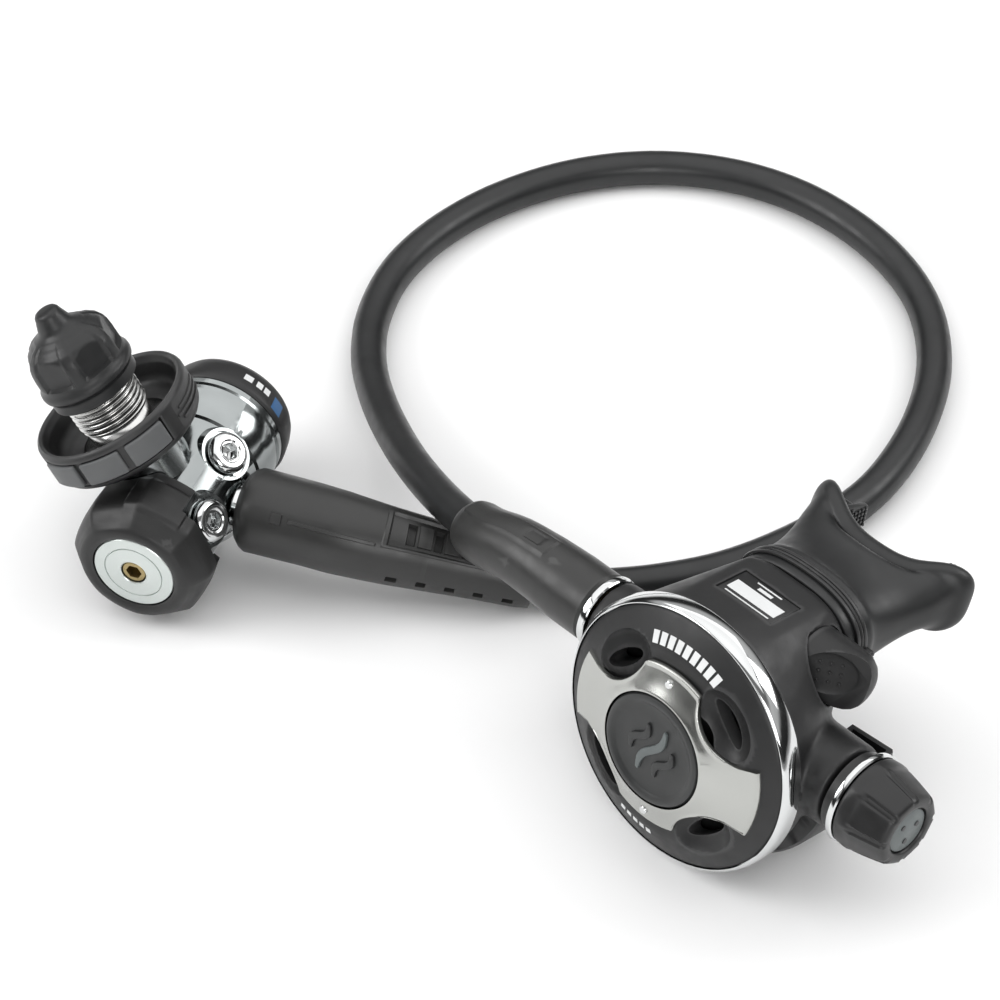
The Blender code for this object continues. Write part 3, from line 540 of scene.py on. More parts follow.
def hose_line():
    route = [Vector(point) + SET_SHIFT for point in HOSE_ROUTE]
    return [route[0]] + spaced(smooth_line(route[1:-1]), HOSE_STEP) + [route[-1]]


def make_hose():
    line = hose_line()
    curve = bpy.data.curves.new("breathing_hose", "CURVE")
    curve.dimensions = "3D"
    curve.bevel_depth = HOSE_R * MM
    curve.bevel_resolution = 8
    curve.use_fill_caps = True
    spline = curve.splines.new("POLY")
    spline.points.add(len(line) - 1)
    for spot, point in zip(spline.points, line):
        spot.co = (*(point * MM), 1)
    spline.use_smooth = True
    curve.materials.append(HOSE)
    hose = added("breathing_hose", curve)
    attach(hose, "first_stage")
    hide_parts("hose")
    length = sum((b - a).length for a, b in zip(line, line[1:])) * MM


def read_profile(profile, distance):
    """The profile's radius at a distance."""
    for (near, first), (far, second) in zip(profile, profile[1:]):
        if distance <= far:
            return first + (second - first) * (distance - near) / (far - near)
    return profile[-1][1]


def along_line(line, distances):
    """(point, direction) of the line at each distance."""
    found = []
    for wanted in distances:
        travelled = 0
        for a, b in zip(line, line[1:]):
            length = (b - a).length
            if travelled + length >= wanted:
                break
            travelled += length
        found.append(a.lerp(b, (wanted - travelled) / length))
    ways = [(b - a).normalized() for a, b in zip(found, found[1:])]
    return list(zip(found, [ways[0]] + [(a + b).normalized() for a, b in zip(ways, ways[1:])] + [ways[-1]]))


def thinned(values, least):
    """Sorted values, without those that come too soon after another."""
    kept = []
    for value in sorted(values):
        if not kept or value - kept[-1] > least:
            kept.append(value)
    return kept


def sleeve(line, outside, bore, panels):
    """A moulded sleeve on the hose, from (distance, radius) profiles in millimetres.

    panels hold (start, end, middle angle, half angle, depth, edge) in millimetres and degrees: each
    raises or sinks a part of the sleeve's outside.
    """
    length = outside[-1][0]
    stops = {0, length}
    angles = {radians(6 * i) for i in range(60)}
    for start, end, middle, half, _, edge in panels:
        stops |= {start, start + edge, end - edge, end}
        turn = edge / SLEEVE_R
        for side in (-1, 1):
            at = radians(middle) + side * radians(half)
            angles |= {at % (2 * pi), (at - side * turn) % (2 * pi)}
    stops |= {distance for distance, _ in outside + bore}
    stops |= {i * length / 30 for i in range(31)}
    kept, angles = thinned(stops, 0.08), thinned(angles, 0.004)

    def relief(distance, angle):
        total = 0
        for start, end, middle, half, depth, edge in panels:
            apart = (angle - radians(middle) + pi) % (2 * pi) - pi
            inside = min(distance - start, end - distance, (radians(half) - abs(apart)) * SLEEVE_R)
            total += depth * max(0, min(1, inside / edge))
        return total

    outer, inner = [], []
    for distance, (point, way) in zip(kept, along_line(line, kept)):
        across = way.cross(Vector((0, 0, 1))).normalized()
        upward = across.cross(way)
        spokes = [across * cos(a) + upward * sin(a) for a in angles]
        reach = read_profile(outside, distance)
        outer.append([point + (reach + relief(distance, a)) * s for a, s in zip(angles, spokes)])
        inner.append([point + read_profile(bore, distance) * s for s in spokes])
    return shell(outer, inner)


def make_protectors():
    line = hose_line()
    port = FIRST @ MILLI @ Vector((HOSE_PORT_X + 2.6, 0, HOSE_PORT_Z)) / MM
    outside = [(0, 10.6), (1.6, 12.3), (3, 13), (30, 12.7), (62, 10.8), (86, 9.4), (90, 8.8)]
    bore = [(0, 8), (14.6, 8), (15.8, SLEEVE_BORE), (90, SLEEVE_BORE)]
    panels = [(44, 88, 73, 29, -0.9, 0.5), (42.5, 89, 73, 33, 0.35, 0.4)]
    panels += [(49 + 8.8 * k, 51.8 + 8.8 * k, 70, 19, -1.6, 0.25) for k in range(5)]
    panels += [(52.4 + 8.8 * k, 57.2 + 8.8 * k, 70, 19, 0.7, 0.3) for k in range(4)]
    panels += [(46 + 9 * k, 49.2 + 9 * k, -13, 6.5, -1.5, 0.25) for k in range(5)]
    panels += [(12, 15.6, 42, 8, 0.45, 0.25), (17.6, 41, 42, 3, 0.4, 0.25)]
    first = solid("protector_first", sleeve([port] + line, outside, bore, panels))
    piece(first, Matrix(), "first_stage", SHEEN_LIFTED_SLEEVE, ["hose_protector_first"], sharp=28)

    inlet = SECOND @ MILLI @ Vector((INLET_X - 0.3, 0, 0)) / MM
    outside = [(0, 10.2), (0.8, 11), (12, 11), (36, 9.8), (53, 9), (55, 8.6), (56, 7.8)]
    bore = [(0, 8), (16.9, 8), (18.1, SLEEVE_BORE), (56, SLEEVE_BORE)]
    panels = [(20, 54, 92, 22, 0.45, 0.8), (23, 30, 92, 12, -0.4, 0.5)]
    second = solid("protector_second", sleeve([inlet] + line[::-1], outside, bore, panels))
    piece(second, Matrix(), "first_stage", SHEEN_LIFTED_SLEEVE, ["hose_protector_second"], sharp=28)


def make_fittings():
    nut = [(2.5, 0), (7.2, 0), (7.6, 0.4), (7.6, 6.6), (7.2, 7), (6.4, 7.6), (6.4, 16.8), (2.5, 17)]
    places = (
        ("first", FIRST, shift(HOSE_PORT_X, 0, HOSE_PORT_Z) @ turn_about("Y", 90)),
        ("second", SECOND, shift(INLET_X) @ turn_about("Y", -90)),
    )
    for word, stage, local in places:
        body = solid("fitting_" + word, turned(nut, 64), local)
        piece(body, stage, "first_stage", CHROME, ["hose_fitting_" + word])


# ---- first stage


def port_place(degrees, z, reach, lean=0):
    """On the body's side, with Z out of a port that leans by some degrees to the plug end."""
    angle, lean = radians(degrees), radians(lean)
    out = Vector((cos(angle), sin(angle), 0))
    ahead = Vector((0, 0, 1))
    normal = (out * cos(lean) + ahead * sin(lean)).normalized()
    return local_frame(ahead.cross(normal), normal, out * reach + ahead * z)


# The plugged ports: the angle round the body, z, reach and lean of each.
PORTS = {
    "port_plug_upper": (49, -11, 19.2, 10),
    "port_plug_lower": (29, 12.2, 18.6, 13),
    "port_plug_rear": (-62, -9.5, 18.7, 10),
    "port_plug_left": (196, -9.5, 18.7, 10),
}
DIN_ANGLE = radians(120)
DIN_IN_FIRST = local_frame((0, 0, 1), (cos(DIN_ANGLE), sin(DIN_ANGLE), 0), (0, 0, 0))


def make_body():
    ports = [port_place(*place) for place in PORTS.values()]
    outside = [
        (15.2, 29), (16.6, 22), (17.4, 8), (18.1, -2), (18.6, -7), (19.1, -12), (19.6, -17.6),
        (20.3, -18.4), (20.5, -24), (20.9, -24.8), (20.9, -29.4), (20.1, -30), (20.1, -31.6),
        (20.7, -32.2), (20.7, -34),
    ]
    inside = [
        (16.5, -34), (16.5, -16), (11, -16), (11, -4), (3.4, -4), (3.4, 2), (9, 2), (9, 29),
    ]
    body = solid("pressure_body", turned(outside + inside, 128))
    join(body, moved(rod(13, 12.5, 23.3, 96), DIN_IN_FIRST))
    for place in ports:
        join(body, moved(turned([(0, -2.4), (9.2, -2.4), (8.2, -0.1), (0, -0.1)], 64), place))
    for place in ports:
        cut(body, moved(turned([(0, 0), (8, 0), (9, 12), (0, 12)], 64), place))
        cut(body, moved(turned([(5, -0.7), (7.2, -0.7), (7.2, 1), (5, 1)], 64), place))
        cut(body, moved(rod(4.9, -9, 1, 48), place))
    hose_port = port_place(0, HOSE_PORT_Z, HOSE_PORT_X - 0.3)
    cut(body, moved(rod(8.2, 0, 12), hose_port), moved(rod(5.2, -9, 1, 48), hose_port))
    cut(body, moved(rod(7, 12, 28), DIN_IN_FIRST))
    soften(body, 0.28, 32, 2)
    piece(body, FIRST, "first_stage", PAINTED_SHADE_BODY_CHROME, ["first_stage_body"], sharp=32)


def make_plugs():
    for name, place in PORTS.items():
        profile = [
            (0, -6), (4.6, -6), (4.6, 0.3), (6.4, 0.3), (6.4, 1.5), (6.1, 2.1), (5.5, 2.75), (4.9, 2.9),
            (3.7, 2.9), (3.3, 2.5), (0, 2.5),
        ]
        plug = cut(solid(name + "_look", turned(profile, 72)), rod(2.7, -1.5, 4, 6))
        soften(plug, 0.12, 35, 2)
        piece(plug, FIRST @ scaled(port_place(*place)), "first_stage", CHROME, [name])


def make_boot():
    stops = [
        (13.1, 31.8), (13.8, 32.2), (14.6, 32.45), (16, 32.2), (17.2, 31.6), (18.9, 29.8), (20.4, 27.8),
        (21.3, 26.4), (21.8, 24.8), (21.95, 22.8), (21.95, 20.6), (21.9, 18.4), (21.7, 16.2), (21.5, 14),
        (21.2, 11.8), (20.8, 9.8), (20.5, 9),
    ]
    inner = [(17.7, 9), (16.9, 22), (15.5, 29.3), (13.1, 29.3)]

    def reach(angle, radius, z):
        if (radius, z) in inner or radius < 14.2:
            return radius
        degrees = math.degrees(angle) % 360
        panel = patch(degrees, 52, 104, 2.2) * patch(z, 12.6, 26.4, 0.7)
        flats = radius * (facet(angle, 8, 0.6) - 1) * patch(z, 6, 33.2, 5)
        return radius + flats + 0.75 * panel

    degrees = {2.5 * i for i in range(144)} | {52, 54.2, 101.8, 104}
    angles = [radians(angle) for angle in sorted(degrees)]
    boot = solid("boot", turned(refine(stops, 0.9) + inner, reach=reach, angles=angles))
    low, high = radians(-30), radians(62)
    steps = [low + (high - low) * i / 24 for i in range(25)]
    wedge = [(6, 0)] + [(30 * cos(a), 30 * sin(a)) for a in steps]
    cut(boot, extruded(wedge, 4, 20))
    cut(boot, moved(rod(13.4, 10, 30, 96), DIN_IN_FIRST))
    piece(boot, FIRST, "first_stage", BOOT, ["body_boot"], sharp=48)


def make_end_disc():
    profile = [
        (4, 24), (8.7, 24), (8.7, 29.6), (12.8, 29.6), (12.8, 31.3), (12.5, 31.6), (9.35, 31.72),
        (9.2, 31.35), (9.05, 31.35), (8.9, 31.74), (4.3, 31.95), (4, 31.7),
    ]
    disc = solid("end_disc", turned(profile, 128))
    piece(disc, FIRST, "first_stage", DISC, ["end_plug"], sharp=25)
    screw = solid("end_screw", turned([(0, 25), (3.7, 25), (3.7, 31.2), (3.4, 31.5), (0, 31.5)], 48))
    cut(screw, rod(2.5, 27.5, 33, 6))
    soften(screw, 0.12)
    piece(screw, FIRST, "first_stage", BRASS, ["end_plug_screw"])


def make_diaphragm_end():
    profile = [
        (18.4, -34.3), (20.8, -34.3), (21.2, -34.8), (21.4, -36), (21.1, -38.4), (20.7, -41), (20, -43.4),
        (19.2, -44.9), (18.2, -45.4), (15, -45.4), (14.2, -44.8), (14, -43.6), (14, -39), (18.4, -39),
    ]
    ring = solid("diaphragm_cover", turned(profile, 180))

    def mark(centre):
        degrees = math.degrees(math.atan2(centre.y, centre.x)) % 360
        radius = math.hypot(centre.x, centre.y)
        if not (-41 < centre.z < -36 and radius > 20):
            return 0
        if 27 < degrees < 38:
            return 2
        bars = 44 < degrees < 50 or 53 < degrees < 58 or 61 < degrees < 70
        return 1 if bars and -40.9 < centre.z < -38.4 else 0

    paint_faces(ring, (PLASTIC, INK, BLUE), mark)
    piece(ring, FIRST, "first_stage", PLASTIC, ["diaphragm_ring"])
    membrane = [
        (0, -38.6), (4, -38.7), (8, -39.1), (11, -39.1), (13, -38.6), (18, -38.6), (18, -38), (0, -38),
    ]
    skin = solid("outer_membrane", turned(membrane))
    piece(skin, FIRST, "first_stage", SILICONE, ["outer_diaphragm"])


# ---- connector, wheel and cap


def make_connector():
    """The DIN stem; its thread is a smooth ridge that climbs by the pitch in each turn."""
    low, high, pitch, crest, root = 35.2, 48.6, 1.814, 11.45, 10.35
    steps = 200
    rows = [(7, 24), (14, 24), (14, 28.8), (13.7, 29.2), (10.6, 29.6), (10.45, 30), (10.45, 35.2)]
    rows += [(root, low + (high - low) * i / steps) for i in range(steps + 1)]
    rows += [(10.9, 49), (10.95, 59), (10.6, 59.4), (8.3, 59.4), (8.3, 56.2), (7, 55.8)]

    def reach(angle, radius, z):
        if radius != root:
            return radius
        phase = ((z - low) / pitch - angle / (2 * pi)) % 1
        ridge = 0.5 - 0.5 * cos(2 * pi * phase)
        ends = min(1, (z - low) / 1.2, (high + 0.4 - z) / 1.2)
        return root + (crest - root) * ridge * max(0, ends)

    stem = solid("connector_thread", turned(rows, reach=reach))
    piece(stem, DIN, "connector", THREAD, ["din_stem"], sharp=175)


# The middles, in degrees, of the two stretches of grip pads round the handwheel.
WINDOWS = {"front": 15, "rear": 195}


def make_wheel():
    side = [
        (14.3, 24.6), (18, 24.6), (20.4, 24.9), (21.8, 25.5), (23.4, 26.6), (24.3, 27.8), (24.6, 28.4),
        (25, 37.4), (24.95, 38.4), (24.5, 39.2), (23.9, 39.5), (23.2, 39.3), (22.7, 38.7), (22.5, 37.9),
        (22, 37.4), (21.7, 36.6), (21.3, 33.6), (20.8, 31.8), (19.6, 30.8), (17.6, 30.2), (14.3, 29.4),
    ]
    wheel = solid("wheel", turned(side, 144))
    for middle in WINDOWS.values():
        cut(wheel, arc_block(23.1, 27, middle - 53.2, middle + 53.2, 28.3, 37.3))
    for k, half in enumerate((20, 24, 20)):
        join(wheel, arc_block(24.7, 25.3, 105 - half, 105 + half, 30.4 + 1.8 * k, 31.2 + 1.8 * k))
    soften(wheel, 0.25, 40, 2)
    piece(wheel, DIN, "connector", PLASTIC, ["handwheel"], sharp=40)
    for name, middle in WINDOWS.items():
        pads = solid("pads_" + name, arc_block(23.4, 24.25, middle - 52, middle + 52, 28.6, 37))
        piece(pads, DIN, "connector", PLASTIC, ["handwheel_pads_" + name])
        for k in (-1, 0, 1):
            start = middle + 36 * k - 16
            pad = solid(f"pad_{name}_{k + 2}", arc_block(24, 25.7, start + 0.6, start + 31.4, 28.9, 36.7))
            soften(pad, 0.7, 40, 4)
            piece(pad, DIN, "connector", GREY, sharp=50)


def make_cap():
    outer = [
        (13.2, 46.6), (13.9, 46.9), (14, 50.2), (14.5, 50.9), (15, 51.3), (15.2, 52.2), (15.1, 53.2),
        (14.5, 54.2), (14.3, 55), (14.5, 56.2), (14.5, 59), (14.3, 61.6), (13.8, 63.4), (12.8, 65.2),
        (10.8, 67), (8.6, 68.2), (7, 69), (6, 69.8), (5.4, 70.8), (4.9, 72.2), (4.3, 73.8), (4, 74.8),
        (3.5, 75.5), (2.6, 75.9), (1.2, 76), (0, 76),
    ]
    inner = [(0, 65.5), (11.4, 65.5), (11.9, 65), (11.9, 46.6)]

    def reach(angle, radius, z):
        if radius < 7.4 or z <= 55.2 or (radius, z) in inner:
            return radius
        off = (math.degrees(angle) - 30) % 60 - 30
        flat = radius - min(radius, 12.9 / max(0.4, cos(radians(off))))
        scoop = patch(off, -23, 23, 1.8) * patch(z, 55.4, 68.6, 0.9)
        return radius - scoop * min(2.2, max(0.6, flat + 0.5))

    cap = solid("dust_cap_look", turned(inner + refine(outer[:-1], 0.7) + [outer[-1]], 144, reach))
    piece(cap, DIN, "cap", SILICONE, ["dust_cap"], sharp=42)


# ---- second stage

COVER_Y = -3.8
COVER = shift(y=COVER_Y)
TUBE_Y = 20
DECK_Y = 34.9
LEVER = shift(0, 23.7, -10.4) @ BARREL
# The lever's thumb face, in the lever's frame: along it, out of it and a point on it.
LEVER_FACE = ((0.55, 0, 0.82), (-0.82, 0.14, 0.55), (-3.96, 1.59, 28.5))


def case_points(extra=0):
    """What the case is the hull of: three circles round the cover's axis, the neck and a flat top."""
    circles = ((40.2, 18), (39.6, 8), (29, -9))
    points = [((radius + extra) * cos(a), COVER_Y + (radius + extra) * sin(a), z)
              for radius, z in circles for a in even_angles(64)]
    points += oval(22.3 + extra, 14.8 + extra, TUBE_Y, -20 - extra)
    return points + [(x, DECK_Y + extra - 0.2, z) for x in (-14.6, 14.6) for z in (4.6, -16.6)]


def make_case():
    case = solid("case_look", hull_of(case_points()))
    join(case, moved(rod(11.4, -25.5, 0), shift(x=-20.5) @ BARREL))
    join(case, moved(rod(13, 0, 26.3), shift(x=20) @ BARREL))
    housing = [(0, 6), (9.6, 6), (9.9, 17.2), (9.5, 17.5), (0, 17.5)]
    join(case, moved(turned(housing, 64), LEVER))
    remesh(case, 0.9, 10)
    join(case, lofted([oval(19.4, 12.4, TUBE_Y, z) for z in (-16, -30.6, -31)]))
    bowl = [
        (0, -5), (25, -5), (27, 2), (31, 8), (31, 14), (35, 14), (35, 19.5), (0, 19.5),
    ]
    cut(case, moved(turned(bowl), COVER))
    cut(case, moved(turned([(38.3, 13.5), (44.5, 13.5), (44.5, 25), (38.3, 25)]), COVER))
    cut(case, moved(rod(9.3, -50, 50), BARREL))
    cut(case, lofted([oval(16.8, 9.8, TUBE_Y, z) for z in (-3, -33)]))
    cut(case, moved(rod(5.6, 24, 42), shift(z=-2) @ DOWNWARD))
    cut(case, moved(rod(9.7, 17.5, 50), LEVER), moved(rod(2.3, 10, 19, 32), LEVER))
    cut(case, block((-10.6, DECK_Y - 0.9, -10.4), (10.6, DECK_Y + 3, 2.4)))
    soften(case, 0.35, 48, 2)
    piece(case, SECOND, "second_stage", PLASTIC, ["case", "mouth_tube"], sharp=45)


def make_label():
    """A plate on top of the case, with plain bars in place of its print."""
    plate = soften(solid("label", block((-10.3, DECK_Y - 0.6, -10.1), (10.3, DECK_Y + 0.05, 2.1))), 0.3)
    piece(plate, SECOND, "second_stage", SOFT_PLASTIC, ["label_plate"])
    top = DECK_Y + 0.06
    prints = (("block", 8.9, -5.4, -0.6), ("bar", 2.6, -7.6, -6.4), ("line", 4.6, -9.1, -8.6),
              ("rule", 8.2, 0.6, 1.1))
    for word, half, near, far in prints:
        ink = solid("label_" + word, block((-half, top - 0.2, near), (half, top + 0.06, far)))
        piece(ink, SECOND, "second_stage", INK)


def make_trim():
    trim = [
        (38.6, 13.8), (40.6, 13.8), (41.1, 14.1), (41.3, 14.6), (41.35, 17.4), (41.2, 19), (40.9, 19.9),
        (40.5, 20.4), (40.25, 20.6), (40, 20.6), (40, 17.9), (38.6, 17.9),
    ]
    ring = solid("chrome_trim", turned(trim, 180), COVER)
    piece(ring, SECOND, "second_stage", CHROME, ["cover_ring"], sharp=30)


def make_bezel():
    """The cover's rim, with a scoop and a water slot at each corner."""
    bezel = [
        (5.5, 20), (5.5, 18.4), (39.7, 18.4), (39.75, 20), (39.4, 20.6), (38.6, 21.1), (36.4, 22.3),
        (33, 24), (30.2, 25.1), (27.6, 25.4), (24, 25.7), (21.2, 26.2), (20.7, 26), (20.5, 25.4),
        (20.5, 20),
    ]
    cover = solid("bezel", turned(refine(bezel[:-1], 1.5) + bezel[-1:], 180), COVER)
    for k in range(4):
        middle = COVER @ turn_about("Z", 45 + 90 * k)
        scoop = shift(x=28, z=28) @ Matrix.Diagonal((9, 12.5, 6.2, 1))
        cut(cover, moved(ball(1, (0, 0, 0), 96), middle @ scoop))
        slot = [(26.4 + 2.5 * cos(a), 7.6 * sin(a)) for a in even_angles(48)]
        cut(cover, moved(extruded(slot, 16, 30), middle))
    soften(cover, 0.3, 35, 2)
    piece(cover, SECOND, "second_stage", PLASTIC, ["cover_bezel"])


def make_bezel_marks():
    """Plain bars in place of the bezel's print; their tops follow its slope on both sides of a radius."""
    crest_r, crest_z = 33, 24.12
    marks = [(30.8, 34.2, 66 + 5.2 * k, 69.7 + 5.2 * k) for k in range(9)]
    marks += [(31.6, 33.4, 250 + 4.6 * k, 253 + 4.6 * k) for k in range(5)]
    for index, (near, far, start, end) in enumerate(marks):
        mark = arc_block(near, far, start, end, 22, 23.5)
        for vert in mark.verts:
            beyond = math.hypot(vert.co.x, vert.co.y) - crest_r
            top = crest_z - beyond * (0.5 if beyond > 0 else 0.39)
            vert.co.z = top if vert.co.z > 23 else top - 0.5
        piece(solid(f"bezel_mark_{index + 1}", mark, COVER), SECOND, "second_stage", INK)


def dome(radius):
    """Height of the face plate, falling away from the purge button."""
    flat_r, top = 19, 30.2
    return top - 5.6 * ((radius - flat_r) / 14.5) ** 0.8 if radius > flat_r else top


def plate_edge(angle):
    """Outline of the face plate: four arms with round bites between them."""
    bite_at, bite_r = 38, 16.8
    side_arm = abs(cos(angle)) > sin(pi / 4)
    reach = 34.6 if side_arm else 26.2
    off = abs((math.degrees(angle) % 90) - 45)
    across = bite_at * sin(radians(off))
    if across >= bite_r:
        return reach
    bite = bite_at * cos(radians(off)) - math.sqrt(bite_r**2 - across**2)
    return min(reach, bite)


def make_face_plate():
    count, inside = 288, 17.8
    shares = (0, 0.04, 0.1, 0.25, 0.45, 0.65, 0.8, 0.9, 0.95, 0.985, 1)
    top, bottom = [], []
    for share in shares:
        upper, lower = [], []
        for angle in even_angles(count):
            edge = plate_edge(angle)
            radius = inside + share * (edge - inside)
            rim = 0.35 * patch((1 - share) * (edge - inside), -0.9, 0.9, 0.7)
            rim += 0.3 * patch(share * (edge - inside), -1, 1, 0.8)
            roll = 0.4 * max(0, (share - 0.97) / 0.03) ** 2
            height = dome(radius) + rim - roll
            upper.append((radius * cos(angle), COVER_Y + radius * sin(angle), height))
            lower.append((radius * cos(angle), COVER_Y + radius * sin(angle), dome(radius) - 1))
        top.append(upper)
        bottom.append(lower)
    plate = solid("face_plate_look", shell(top, bottom))
    piece(plate, SECOND, "second_stage", SATIN, ["face_plate"], sharp=50)
    pin = [(0, 27.6), (1.3, 27.6), (1.3, 29.5), (1, 29.8), (0, 29.9)]
    for name, degrees in (("upper", 90), ("lower", -90)):
        place = COVER @ turn_about("Z", degrees) @ shift(x=22.6, z=-0.75)
        piece(solid("plate_stud_" + name, turned(pin, 32), place), SECOND, "second_stage", CHROME)


def make_button():
    profile = [
        (0, 16), (3.6, 16), (3.6, 24.5), (7, 25.4), (18.2, 25.4), (18.2, 27.6), (17.3, 28), (17.3, 30),
        (16.9, 30.7), (16.2, 31), (15.2, 30.9), (14.4, 30.3), (13.6, 30), (9, 30), (0, 30.15),
    ]
    button = solid("button", turned(profile, 120), COVER)
    piece(button, SECOND, "purge", BUTTON, ["purge_button"], sharp=35)
    for k, (offset, half) in enumerate(((-5.4, 6), (0, 9.4), (5.4, 6))):
        outline = []
        for side in (-1, 1):
            for i in range(13):
                along = (i / 12 * 2 - 1) * -side
                bend = 1.4 * sin(along * pi)
                outline.append((offset + side * 1.35 * (1 - 0.55 * along * along) + bend, along * half))
        wave = moved(extruded(outline, 29.6, 30.85), turn_about("Z", -24), COVER)
        rib = soften(solid(f"button_rib_{k + 1}", wave), 0.3, 40)
        piece(rib, SECOND, "purge", EMBLEM if k == 1 else BUTTON)


def make_knob():
    place = shift(x=50.5) @ BARREL
    ring = [(10, 0), (13.7, 0), (14.1, 0.3), (14.2, 0.8), (14.1, 1.6), (13.7, 2), (10, 2)]
    trim = solid("knob_ring", turned(ring, 128), place)
    piece(trim, SECOND, "adjuster", CHROME, ["adjuster_ring"], sharp=30)
    profile = [
        (0, -9), (2.6, -9), (2.6, -3), (12.4, -3), (12.4, -0.3), (9.7, -0.3), (9.7, 2.3), (13.2, 2.3),
        (13.7, 2.8), (13.95, 4.6), (13.9, 8), (13.2, 11.4), (12.3, 15.2), (11.7, 17.4), (11.1, 18.3),
        (10.3, 18.6), (8, 18.6), (7.5, 18.3), (7.3, 17.4), (7.2, 17), (0, 17),
    ]

    def reach(angle, radius, z):
        if z < 2.5 or radius < 9:
            return radius
        off = (math.degrees(angle) + 22.5) % 45 - 22.5
        groove = patch(off, -6, 6, 3) * patch(z, 6, 40, 3)
        flats = radius * (facet(angle, 8, 0.8) - 1) * patch(z, 2.6, 40, 4)
        return radius + flats - 0.8 * groove

    knob = solid("knob", turned(refine(profile[:-2], 0.9) + profile[-2:], 180, reach=reach), place)
    piece(knob, SECOND, "adjuster", SOFT_PLASTIC, ["adjuster_knob"], sharp=50)
    disc = [(0, 17.3), (6.9, 17.3), (6.9, 17.75), (6.5, 18), (0, 18.15)]
    piece(solid("knob_cap", turned(disc, 64), place), SECOND, "adjuster", EMBLEM, ["adjuster_cap"])
    dot = [(0, 17.9), (0.9, 17.9), (0.8, 18.35), (0, 18.4)]
    for k in range(3):
        spot = place @ turn_about("Z", 120 * k + 20) @ shift(x=3.4)
        piece(solid(f"knob_cap_dot_{k + 1}", turned(dot, 24), spot), SECOND, "adjuster", BUTTON)


def make_lever():
    low = 17.8
    body = [
        (0, low), (8.9, low), (9.25, low + 0.4), (9.3, low + 1.2), (9.3, low + 11.4), (9.15, low + 13.4),
        (8.7, low + 15.4), (7.8, low + 17.2), (6.4, low + 18.5), (4.4, low + 19.2), (2.2, low + 19.45),
        (0, low + 19.5),
    ]
    lever = solid("airflow_lever", turned(refine(body[:-1], 1) + body[-1:]))
    face = local_frame(*LEVER_FACE)
    cut(lever, moved(block((-25, -25, 0), (25, 25, 25)), face))
    soften(lever, 1.1, 32, 5)
    dish = ball(1, (0, 0, 0), 72)
    cut(lever, moved(dish, face @ shift(x=-1, z=0.1) @ Matrix.Diagonal((8.4, 6.6, 0.8, 1))))
    piece(lever, SECOND @ scaled(LEVER), "venturi", PLASTIC, ["venturi_lever"], sharp=40)
    dots = [(along * 3.2 - 1, across * 2.9) for along in (-1, 0, 1) for across in (-1, 0, 1)]
    for k, (along, across) in enumerate(dots):
        bump = solid(f"lever_dot_{k + 1}", moved(ball(0.5, (along, across, -0.55)), face))
        piece(bump, SECOND @ scaled(LEVER), "venturi", PLASTIC)


def duct_reach(angle, z):
    """How far the duct's outside is from the cover's axis; its underside is flat along the plane."""
    lowest = 38.6 + 0.194 * z
    return min(43, lowest / max(0.01, -sin(angle)))


def duct_section(angle, corners):
    """Corners as (radius, z) from the cover's axis, on the spoke at that angle."""
    spoke = Vector((cos(angle), sin(angle), 0))
    return [Vector((0, COVER_Y, z)) + spoke * radius for radius, z in corners]


def make_exhaust():
    """The duct wraps the cover's lower half."""
    wall = 1.6
    outer, inner = [], []
    steps, start, sweep = 84, -184, 188
    for step in range(steps + 1):
        angle = radians(start + sweep * step / steps)
        front, middle, back = (duct_reach(angle, z) for z in (2, -11, -24))
        outer.append(duct_section(angle, (
            (30, 2), (front - 0.8, 2), (front, 1), (middle, -11), (back, -23),
            (back - 1, -24), (27, -24))))
        inner.append(duct_section(angle, (
            (31.6, 0.4), (front - 2, 0.4), (front - wall, 0), (middle - wall, -11), (back - wall, -22),
            (back - 2, -22.4), (28.6, -22.4))))
    tee = solid("exhaust_duct", shell(outer, inner))
    cut(tee, hull_of(case_points(0.5)))
    cut(tee, moved(rod(11.7, -60, 0), BARREL), moved(rod(13.5, 0, 60), BARREL))
    soften(tee, 0.35, 40, 2)
    piece(tee, SECOND, "second_stage", SOFT_PLASTIC, ["exhaust_tee"], sharp=40)


def shield(half_width, half_height, y, z, dip=6):
    """Outline of the mouthpiece's shield: an oval dipped at its middle, with wings drawn back."""
    points = []
    for x, height, _ in oval(half_width, half_height, 0, 0, power=3.4, count=MOUTH_COUNT):
        share = height / half_height
        low = dip * math.exp(-((x / 19.5) ** 4)) * share
        points.append((x, y + height - low, z - 0.0105 * x * x * (1 + 0.3 * share)))
    return points


# The mouthpiece's rings from its clamp to its lip: half width, half height, y and z, and a bow for
# some. The outside goes on into a shield at the lip.
MOUTH_OUTSIDE = (
    (22, 14.6, 20, -20.4), (22.3, 14.9, 20, -21), (22.4, 14.9, 20, -22.6),
    (22.5, 14.95, 20, -28.6), (22.9, 15.2, 20, -29.2), (22.9, 15.2, 20, -30.6),
    (22.4, 14.4, 20.1, -31.4), (22.5, 13.5, 20.5, -34.5), (22.8, 12.6, 20.9, -38),
    (23.4, 11.6, 21.8, -42), (24.4, 10.9, 22.8, -46, 0.002), (26.4, 10.9, 24, -49, 0.005),
)
MOUTH_SHIELD = (
    (27.4, 11.4, 24.6, -50.2), (28.6, 12.3, 25, -50.6), (29.4, 13, 25.2, -51.6),
    (29.8, 13.4, 25.3, -53.4), (29.6, 13.2, 25.3, -55.2), (28.8, 12.4, 25.2, -56.6),
    (27.2, 10.8, 25, -57.3), (24.6, 9, 25, -56.8),
)
